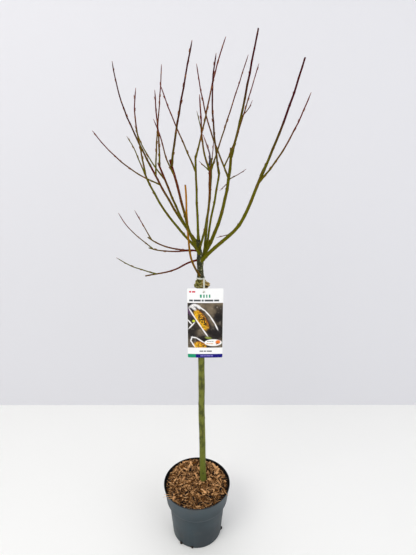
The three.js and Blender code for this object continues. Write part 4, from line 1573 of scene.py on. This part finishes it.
class LabelArt:
    """Paints the card's front. Places and sizes are in millimetres from its lower left corner."""

    def __init__(self, settings):
        self.made, self.tree, self.shader = new_material("label_print")
        self.settings = settings
        uv = node(self.tree, "ShaderNodeUVMap", uv_map="print").outputs[0]
        low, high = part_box("label_card")
        self.size = ((high.x - low.x) / MM, (high.z - low.z) / MM)
        self.place = stretched(self.tree, uv, (*self.size, 1))
        self.colour = settings.card[:]

    def lay(self, mask, colour, share=1.0):
        if share != 1.0:
            mask = sums(self.tree, "MULTIPLY", mask, share)
        self.colour = blend(self.tree, mask, self.colour, colour)

    def bar(self, left, right, low, high):
        inputs = {
            "Place": self.place,
            "Middle": ((left + right) / 2, (low + high) / 2, 0),
            "Half Size": ((right - left) / 2, (high - low) / 2, 1),
        }
        return use_group(self.tree, "Print Bar", inputs)["Mask"]

    def spot(self, x, y, half_long, half_wide, turn=0, softness=0.2, fur=0.0):
        inputs = {
            "Place": self.place,
            "Middle": (x, y, 0),
            "Turn": math.radians(-turn),
            "Half Size": (half_long, half_wide, 1),
            "Softness": softness,
            "Fur": fur,
        }
        return use_group(self.tree, "Soft Spot", inputs)

    def line_of_words(self, left, low, high, words, colour):
        """A row of plain dashes in place of words."""
        gap = 0.45 * (high - low)
        for width in words:
            self.lay(self.bar(left, left + width, low, high), colour)
            left += width + gap

    def hair(self, start, end):
        """A silky white stroke from one place to another."""
        (x0, y0), (x1, y1) = start, end
        turn = math.degrees(math.atan2(y1 - y0, x1 - x0))
        long = math.hypot(x1 - x0, y1 - y0) / 2 + 2
        stroke = self.spot((x0 + x1) / 2, (y0 + y1) / 2, long, 1.7, turn, 0.4, 0.7)
        self.lay(stroke["Mask"], paint("f4f2f0"), 0.97)

    def catkin(self, x, y, half_long, half_wide, turn):
        """A willow catkin in flower: yellow, browner along one side, with dark stamens in its middle."""
        tree = self.tree
        shade = self.spot(x + 4, y - 4, 1.3 * half_long, 1.25 * half_wide, turn, 0.35, 0.3)
        self.lay(shade["Mask"], paint("1b1412"), 0.92)
        grown = self.spot(x, y, half_long, half_wide, turn, 0.14, 0.6)
        browner = spread(tree, grown["Across"], -0.2, 1.0)
        pollen = blend(tree, browner, self.settings.catkin[:], paint("b45a0c"))
        bright = spread(tree, clouds(tree, self.place, 0.3, 3.0), 0.52, 0.66)
        pollen = blend(tree, bright, pollen, paint("ffd934"))
        grains = spread(tree, cells(tree, self.place, 0.36), 0.45, 0.8)
        pollen = blend(tree, sums(tree, "MULTIPLY", grains, 0.7), pollen, paint("5e3906"))
        self.lay(grown["Mask"], pollen)
        middle = self.spot(x + 2, y, 0.6 * half_long, 0.75 * half_wide, turn, 0.5)
        stamens = spread(tree, cells(tree, self.place, 0.22), 0.6, 0.46)
        self.lay(sums(tree, "MULTIPLY", stamens, middle["Mask"]), paint("0c0806"), 0.95)

    # Dark places of the blurred garden: x, y, half length, half width, turn and strength.
    SHADOWS = (
        (10, 128, 30, 13, 80, 0.95),
        (77, 109, 13, 10, 60, 0.97),
        (74, 68, 26, 17, 70, 0.97),
        (10, 78, 34, 13, 80, 0.8),
        (44, 47, 22, 12, 10, 0.95),
    )
    # White tufts over the upper catkin: x, y, half length and turn.
    TUFTS = ((12, 142, 8, 30), (22, 143, 9, -15), (16, 136, 7, -40), (28, 139, 6, -50))
    # Silky white strokes round the catkins, each as the places that it runs through.
    STROKES = (
        ((5, 134), (20, 108), (35, 84), (50, 61)),
        ((28, 141), (44, 129), (56, 115), (68, 95), (75, 79)),
        ((17, 32), (8, 48), (11, 58), (22, 56), (41, 43)),
        ((2, 104), (10, 94)),
        ((4, 82), (17, 97)),
    )

    def picture(self):
        """A blurred winter garden with two catkins and a badge in the corner."""
        tree = self.tree
        card = self.colour
        white = paint("f4f2f0")
        wide = spread(tree, clouds(tree, self.place, 0.03, 2.0), 0.35, 0.65)
        self.colour = blend(tree, wide, paint("2c2521"), paint("7b6d58"))
        self.lay(spread(tree, clouds(tree, self.place, 0.07, 2.0), 0.55, 0.75), paint("9b9183"))
        for x, y, half_long, half_wide, turn, share in self.SHADOWS:
            shadow = self.spot(x, y, half_long, half_wide, turn, 0.5)
            self.lay(shadow["Mask"], paint("120e10"), share)
        self.lay(self.spot(6, 126, 12, 5, -60, 0.6, 0.6)["Mask"], paint("6b4a72"), 0.6)
        self.catkin(35, 104, 31, 12, -61)
        self.catkin(31, 33, 16, 13, -20)
        for x, y, half_long, turn in self.TUFTS:
            self.lay(self.spot(x, y, half_long, 3.4, turn, 0.5, 1.6)["Mask"], white, 0.95)
        gaps = spread(tree, clouds(tree, self.place, 0.5, 4.0, 0.8), 0.54, 0.6)
        gaps = sums(tree, "MULTIPLY", gaps, self.spot(19, 139, 13, 7, 12, 0.4)["Mask"])
        self.lay(gaps, paint("1a1618"), 0.9)
        for stroke in self.STROKES:
            for start, end in zip(stroke, stroke[1:]):
                self.hair(start, end)
        self.lay(self.spot(54, 73, 10, 6, -55, 0.5, 0.5)["Mask"], paint("150f0f"), 0.9)
        self.lay(self.spot(15.5, 102, 3.4, 3.2)["Mask"], paint("c9d52c"))
        self.lay(self.spot(52, 56, 8, 3, -10, 0.4, 0.6)["Mask"], paint("8d9a3a"), 0.8)
        self.badge()
        self.colour = blend(tree, self.bar(0.6, self.size[0] - 0.6, 28.5, 150), card, self.colour)

    def badge(self):
        """A plain pale oval with a bud and two rows of dashes."""
        self.lay(self.spot(64, 42.5, 22, 9.5, 0, 0.06)["Mask"], paint("f7f6f2"))
        self.lay(self.spot(76, 44, 6, 5.5, 20, 0.2, 0.4)["Mask"], paint("ee7a1a"))
        self.lay(self.spot(74, 39.5, 3.5, 1.2, 30, 0.2)["Mask"], paint("241f1c"))
        self.line_of_words(49, 45, 47, (4, 6, 4), paint("8f9391"))
        self.line_of_words(47, 38.6, 40.6, (5, 3, 7), paint("e0a069"))

    def finish_card(self):
        green, blue = self.settings.leaf_green[:], self.settings.ink_blue[:]
        dark = paint("4a4d4f")
        self.picture()
        self.line_of_words(5, 176.5, 180.5, (5, 8), paint("d3293f"))
        self.line_of_words(39, 176, 179, (3.5,), paint("9aa09c"))
        self.line_of_words(31, 163.5, 171.5, (4.5, 3.5, 3, 3.5), green)
        self.line_of_words(5, 153.8, 158.6, (9, 17, 5, 21, 12), dark)
        self.line_of_words(30, 17, 20.2, (9, 6, 13), dark)
        self.lay(self.bar(0, self.size[0], 0, 10.5), blue)
        self.lay(self.bar(0, 20, 0, 10.5), green)
        self.line_of_words(32, 4.2, 6.4, (8, 5, 10, 6), paint("8e86d2"))
        tree = self.tree
        place = object_place(tree)
        dust = {"Place": place, "Clean": self.colour, "Soil": paint("9a9488"), "Amount": 0.16}
        dull = use_group(tree, "Grime", dust)
        wear = clouds(tree, self.place, 0.4, 4.0)
        rough = spread(tree, wear, 0.3, 0.7, 0.3, 0.42)
        finish(tree, self.shader, dull["Colour"], rough, wear, 0.1 * MM, 0.2)
        self.shader.inputs["Specular IOR Level"].default_value = 0.2
        return self.made


def plain_plastic(name, colour, roughness):
    """White plastic sheet with faint handling marks."""
    made, tree, shader = new_material(name)
    place = object_place(tree)
    dust = {"Place": place, "Clean": colour, "Soil": paint("a39c8c"), "Amount": 0.22}
    dull = use_group(tree, "Grime", dust)
    marks = clouds(tree, place, 260.0, 4.0)
    rough = spread(tree, marks, 0.3, 0.7, roughness - 0.05, roughness + 0.08)
    finish(tree, shader, dull["Colour"], rough, marks, 0.05 * MM, 0.3)
    return made


def ribbon(shape, line, sideways, width, thick, closed):
    """A strip of plastic with rounded edges, laid along a line."""
    line = np.asarray(line, float)
    if closed:
        ahead = unit(np.roll(line, -1, axis=0) - np.roll(line, 1, axis=0))
    else:
        ahead = unit(np.gradient(line, axis=0))
    out = np.cross(ahead, sideways)
    half, flat, cut = width / 2, thick / 2, 0.3 * thick
    profile = [
        (half - cut, flat),
        (cut - half, flat),
        (-half, flat - cut),
        (-half, cut - flat),
        (cut - half, -flat),
        (half - cut, -flat),
        (half, cut - flat),
        (half, flat - cut),
    ]
    sides = len(profile)
    rings = np.stack([line + np.asarray(sideways) * a + out * b for a, b in profile], axis=1)
    count = len(line)
    if closed:
        faces = tube_faces(count, sides) + band((count - 1) * sides, 0, sides)
    else:
        faces = closed_tube_faces(count, sides)
    shape.add(rings.reshape(-1, 3), faces)


class WILLOW_OT_label(bpy.types.Operator):
    """Cut, bow and print the label card and loop its strap round the old wood"""

    bl_idname = "willow.label"
    bl_label = "Label"

    def execute(self, context):
        settings = context.scene.willow_label
        self.card(settings)
        self.strap(settings)
        return {"FINISHED"}

    @staticmethod
    def slot_edges():
        """Left, right, low and high edge of the slot in the CAD card."""
        points, _ = welded("label_card")
        low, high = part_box("label_card")
        inset = 2 * MM
        inner = points[
            (points[:, 0] > low.x + 20 * MM)
            & (points[:, 0] < high.x - 20 * MM)
            & (points[:, 2] < high.z - inset)
            & (points[:, 2] > low.z + inset)
        ]
        return inner[:, 0].min(), inner[:, 0].max(), inner[:, 2].min(), inner[:, 2].max()

    # Steps of the grid over the card's rounded corners, in millimetres from its edge.
    EDGE_STEPS = (0, 0.25, 0.6, 1.1, 1.7, 2.4, 3.0)
    CORNER = 3 * MM

    def grid_lines(self, low, high, step, slot):
        """Where the card's grid lines run: close at both edges, and on the slot's two edges."""
        close = np.array(self.EDGE_STEPS) * MM
        middle = np.arange(low + 5 * MM, high - 4 * MM, step)
        return np.unique(np.round(np.concatenate([low + close, middle, high - close, slot]), 5))

    def card_layers(self, settings, xs, zs, slot_middle):
        """The grid's places on the card's front and back, with rounded corners and a slight bow."""
        low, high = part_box("label_card")
        gx, gz = np.meshgrid(xs, zs, indexing="ij")
        corner = self.CORNER
        dx = np.maximum(np.maximum(low.x + corner - gx, gx - high.x + corner), 0)
        dz = np.maximum(np.maximum(low.z + corner - gz, gz - high.z + corner), 0)
        reach = np.hypot(dx, dz)
        pull = np.where(reach > corner, corner / np.maximum(reach, 1e-9), 1)
        px = gx + np.sign(gx - (low.x + high.x) / 2) * dx * (pull - 1)
        pz = gz + np.sign(gz - (low.z + high.z) / 2) * dz * (pull - 1)
        bow = settings.bow * ((px - slot_middle) / (50 * MM)) ** 2
        curl = 0.8 * MM * np.sin((high.z - pz) / (high.z - low.z) * math.pi)
        layers = [np.stack([px, y + bow - curl, pz], axis=2) for y in (low.y, high.y)]
        return np.concatenate(layers).reshape(-1, 3)

    def card(self, settings):
        low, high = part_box("label_card")
        left, right, bottom, top = (round(edge, 5) for edge in self.slot_edges())
        xs = self.grid_lines(low.x, high.x, 2 * MM, (left, right))
        zs = self.grid_lines(low.z, high.z, 3 * MM, (bottom, top))
        rows = len(zs)
        count = len(xs) * rows
        faces = []
        finishes = []
        edges = {}
        for i in range(len(xs) - 1):
            for j in range(rows - 1):
                if left <= xs[i] and xs[i + 1] <= right and bottom <= zs[j] and zs[j + 1] <= top:
                    continue
                quad = [i * rows + j, (i + 1) * rows + j, (i + 1) * rows + j + 1, i * rows + j + 1]
                faces += [quad, [point + count for point in quad[::-1]]]
                finishes += [0, 1]
                for a, b in zip(quad, quad[1:] + quad[:1]):
                    if (b, a) in edges:
                        del edges[(b, a)]
                    else:
                        edges[(a, b)] = True
        for a, b in edges:
            faces.append([b, a, a + count, b + count])
            finishes.append(1)
        shape = Shape()
        shape.add(self.card_layers(settings, xs, zs, (left + right) / 2), faces, finishes)
        mesh = shape.mesh("label_picture_card")
        self.drop_unused(mesh)
        self.map_print(mesh, low, high)
        front = LabelArt(settings).finish_card()
        back = plain_plastic("label_card_back", settings.card[:], 0.35)
        put_piece("label_picture_card", mesh, [front, back], "label_card")

    @staticmethod
    def map_print(mesh, low, high):
        """Lays the print over the whole card, from its lower left corner to its upper right one."""
        uv = mesh.uv_layers.new(name="print")
        corners = np.zeros(len(mesh.loops), int)
        mesh.loops.foreach_get("vertex_index", corners)
        spots = np.array([v.co for v in mesh.vertices])[corners]
        across = (spots[:, 0] - low.x) / (high.x - low.x)
        upwards = (spots[:, 2] - low.z) / (high.z - low.z)
        uv.data.foreach_set("uv", np.stack([across, upwards], axis=1).astype(np.float32).ravel())

    @staticmethod
    def drop_unused(mesh):
        """Takes out the points that no face uses."""
        held = bmesh.new()
        held.from_mesh(mesh)
        bmesh.ops.delete(held, geom=[v for v in held.verts if not v.link_faces], context="VERTS")
        held.to_mesh(mesh)
        held.free()

    STRAP_WIDTH = 4 * MM
    STRAP_THICKNESS = 0.6 * MM

    def strap(self, settings):
        low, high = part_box("label_strap")
        card_low, card_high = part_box("label_card")
        left, right, bottom, top = self.slot_edges()
        width, thick = self.STRAP_WIDTH, self.STRAP_THICKNESS
        radius = (high.x - low.x) / 2 - thick / 2
        x, y = (low.x + high.x) / 2, high.y - thick / 2 - radius
        loop = high.z - width / 2
        shape = Shape()
        ring = level_ring(x, y, radius, loop, 72)
        ring[:, 2] += 0.25 * MM * np.sin(2 * round_angles(72))
        ribbon(shape, ring, (0, 0, 1), width - 0.5 * MM, thick, True)
        front = y - radius
        slot = (bottom + top) / 2
        behind = card_high.y + 0.65 * MM
        tongue = [
            (y - 6 * MM, loop + 1.6 * MM),
            (front - 1.2 * MM, loop + 1.9 * MM),
            (front - 4.2 * MM, loop - 0.6 * MM),
            (front - 6.5 * MM, loop - 6 * MM),
            (behind - 0.1 * MM, loop - 12 * MM),
            (behind, loop - 20 * MM),
            (behind, slot + 3 * MM),
            (behind - 0.3 * MM, slot + 0.6 * MM),
            (card_low.y + 0.2 * MM, slot),
            (card_low.y - 1.0 * MM, slot + 0.1 * MM),
            (card_low.y - 1.5 * MM, slot + 1.4 * MM),
            (card_low.y - 1.3 * MM, slot + 4.5 * MM),
        ]
        path = np.array([((left + right) / 2, back, height) for back, height in tongue])
        line, _ = smooth_line(path, np.zeros(len(path)), 0.8 * MM)
        ribbon(shape, line, (-1, 0, 0), width, thick, False)
        mesh = shape.mesh("label_strap_band")
        plastic = plain_plastic("strap_plastic", settings.strap[:], 0.4)
        put_piece("label_strap_band", mesh, [plastic], "label_strap")


# ---- stage --------------------------------------------------------------------------------------


def stage_plane(name, corners, material):
    mesh = bpy.data.meshes.new(name)
    mesh.from_pydata(corners, [], [[0, 1, 2, 3]])
    mesh.materials.append(material)
    plane = bpy.data.objects.new(name, mesh)
    bpy.context.scene.collection.objects.link(plane)


def area_light(name, place, target, size, power, colour):
    data = bpy.data.lights.new(name, "AREA")
    data.shape = "DISK"
    data.size = size
    data.energy = power
    data.color = colour
    lamp = bpy.data.objects.new(name, data)
    lamp.location = place
    lamp.rotation_euler = (Vector(target) - Vector(place)).to_track_quat("-Z", "Y").to_euler()
    bpy.context.scene.collection.objects.link(lamp)


class WILLOW_OT_stage(bpy.types.Operator):
    """Lay the floor, stand the wall behind and set the lights and the camera"""

    bl_idname = "willow.stage"
    bl_label = "Stage"

    REACH = 6.0  # from the pot to the edges of the floor and the wall
    WALL_HEIGHT = 4.0
    LAMPS_AIM = (0, 0, 0.6)
    MAIN_LAMP = (-1.3, -1.5, 2.6)
    FILL_LAMP = (1.6, -1.2, 1.6)
    FILL_SHARE = 0.3  # the fill lamp's power, as a share of the main lamp's
    CAMERA_PLACE = (22.8 * MM, -918.4 * MM, 1089.7 * MM)
    CAMERA_DOWN = math.radians(18.08)
    CAMERA_RIGHT = math.radians(0.42)
    CAMERA_ROLL = math.radians(0.23)

    def execute(self, context):
        settings = context.scene.willow_stage
        floor, tree, shader = new_material("stage_floor")
        finish(tree, shader, settings.floor[:], 0.6)
        reach = self.REACH
        corners = [(-reach, -reach, 0), (reach, -reach, 0), (reach, reach, 0), (-reach, reach, 0)]
        stage_plane("stage_floor", corners, floor)

        wall, tree, shader = new_material("stage_wall")
        finish(tree, shader, settings.wall[:], 0.7)
        clear = node(tree, "ShaderNodeBsdfTransparent").outputs[0]
        back = node(tree, "ShaderNodeNewGeometry").outputs["Backfacing"]
        mixed = node(tree, "ShaderNodeMixShader", {0: back, 1: shader.outputs[0], 2: clear}).outputs[0]
        tree.links.new(mixed, tree.nodes["Material Output"].inputs[0])
        y, top = settings.wall_distance, self.WALL_HEIGHT
        stage_plane("stage_wall", [(-reach, y, 0), (reach, y, 0), (reach, y, top), (-reach, y, top)], wall)

        world = bpy.data.worlds.new("daylight")
        context.scene.world = world
        world.use_nodes = True
        background = world.node_tree.nodes["Background"]
        background.inputs["Color"].default_value = (0.98, 0.98, 1.0, 1)
        background.inputs["Strength"].default_value = settings.daylight
        aim, power = self.LAMPS_AIM, settings.lamp
        area_light("main_lamp", self.MAIN_LAMP, aim, 1.5, power, (1.0, 0.98, 0.95))
        area_light("fill_lamp", self.FILL_LAMP, aim, 1.8, power * self.FILL_SHARE, (0.95, 0.97, 1.0))
        context.scene.view_settings.view_transform = "Standard"
        self.camera(context, settings)
        return {"FINISHED"}

    def camera(self, context, settings):
        data = bpy.data.cameras.new("camera")
        data.lens = settings.lens
        data.sensor_width = 36
        data.clip_start = 0.01
        camera = bpy.data.objects.new("camera", data)
        down, right_turn, roll = self.CAMERA_DOWN, self.CAMERA_RIGHT, self.CAMERA_ROLL
        forward = Vector(
            (math.sin(right_turn) * math.cos(down), math.cos(right_turn) * math.cos(down), -math.sin(down))
        )
        level = Vector((math.cos(right_turn), -math.sin(right_turn), 0))
        upright = level.cross(forward)
        right = level * math.cos(roll) + upright * math.sin(roll)
        up = upright * math.cos(roll) - level * math.sin(roll)
        turn = Matrix((right, up, -forward)).transposed().to_4x4()
        camera.matrix_world = Matrix.Translation(self.CAMERA_PLACE) @ turn
        context.scene.collection.objects.link(camera)
        context.scene.camera = camera


# ---- registration -------------------------------------------------------------------------------

OPERATORS = (
    WILLOW_OT_stage,
    WILLOW_OT_pot,
    WILLOW_OT_mulch,
    WILLOW_OT_stem,
    WILLOW_OT_graft,
    WILLOW_OT_shoots,
    WILLOW_OT_label,
)
SETTINGS = {
    "willow_stage": WillowStageSettings,
    "willow_pot": WillowPotSettings,
    "willow_mulch": WillowMulchSettings,
    "willow_wood": WillowWoodSettings,
    "willow_shoots": WillowShootSettings,
    "willow_label": WillowLabelSettings,
}


class WILLOW_PT_panel(bpy.types.Panel):
    """Settings and build buttons of the potted willow"""

    bl_idname = "WILLOW_PT_panel"
    bl_label = "Potted Willow"
    bl_space_type = "VIEW_3D"
    bl_region_type = "UI"
    bl_category = "Willow"

    def draw(self, context):
        for key in SETTINGS:
            box = self.layout.box()
            group = getattr(context.scene, key)
            for name in group.__annotations__:
                box.prop(group, name)
        for operator in OPERATORS:
            self.layout.operator(operator.bl_idname)


def register():
    for item in (*SETTINGS.values(), *OPERATORS, WILLOW_PT_panel):
        bpy.utils.register_class(item)
    for key, group in SETTINGS.items():
        setattr(bpy.types.Scene, key, bpy.props.PointerProperty(type=group))


def unregister():
    for key in SETTINGS:
        delattr(bpy.types.Scene, key)
    for item in (WILLOW_PT_panel, *reversed(OPERATORS), *SETTINGS.values()):
        bpy.utils.unregister_class(item)


def main():
    register()
    bpy.ops.willow.stage()
    bpy.ops.willow.pot()
    bpy.ops.willow.mulch()
    bpy.ops.willow.stem()
    bpy.ops.willow.graft()
    bpy.ops.willow.shoots()
    bpy.ops.willow.label()


if __name__ == "__main__":
    main()
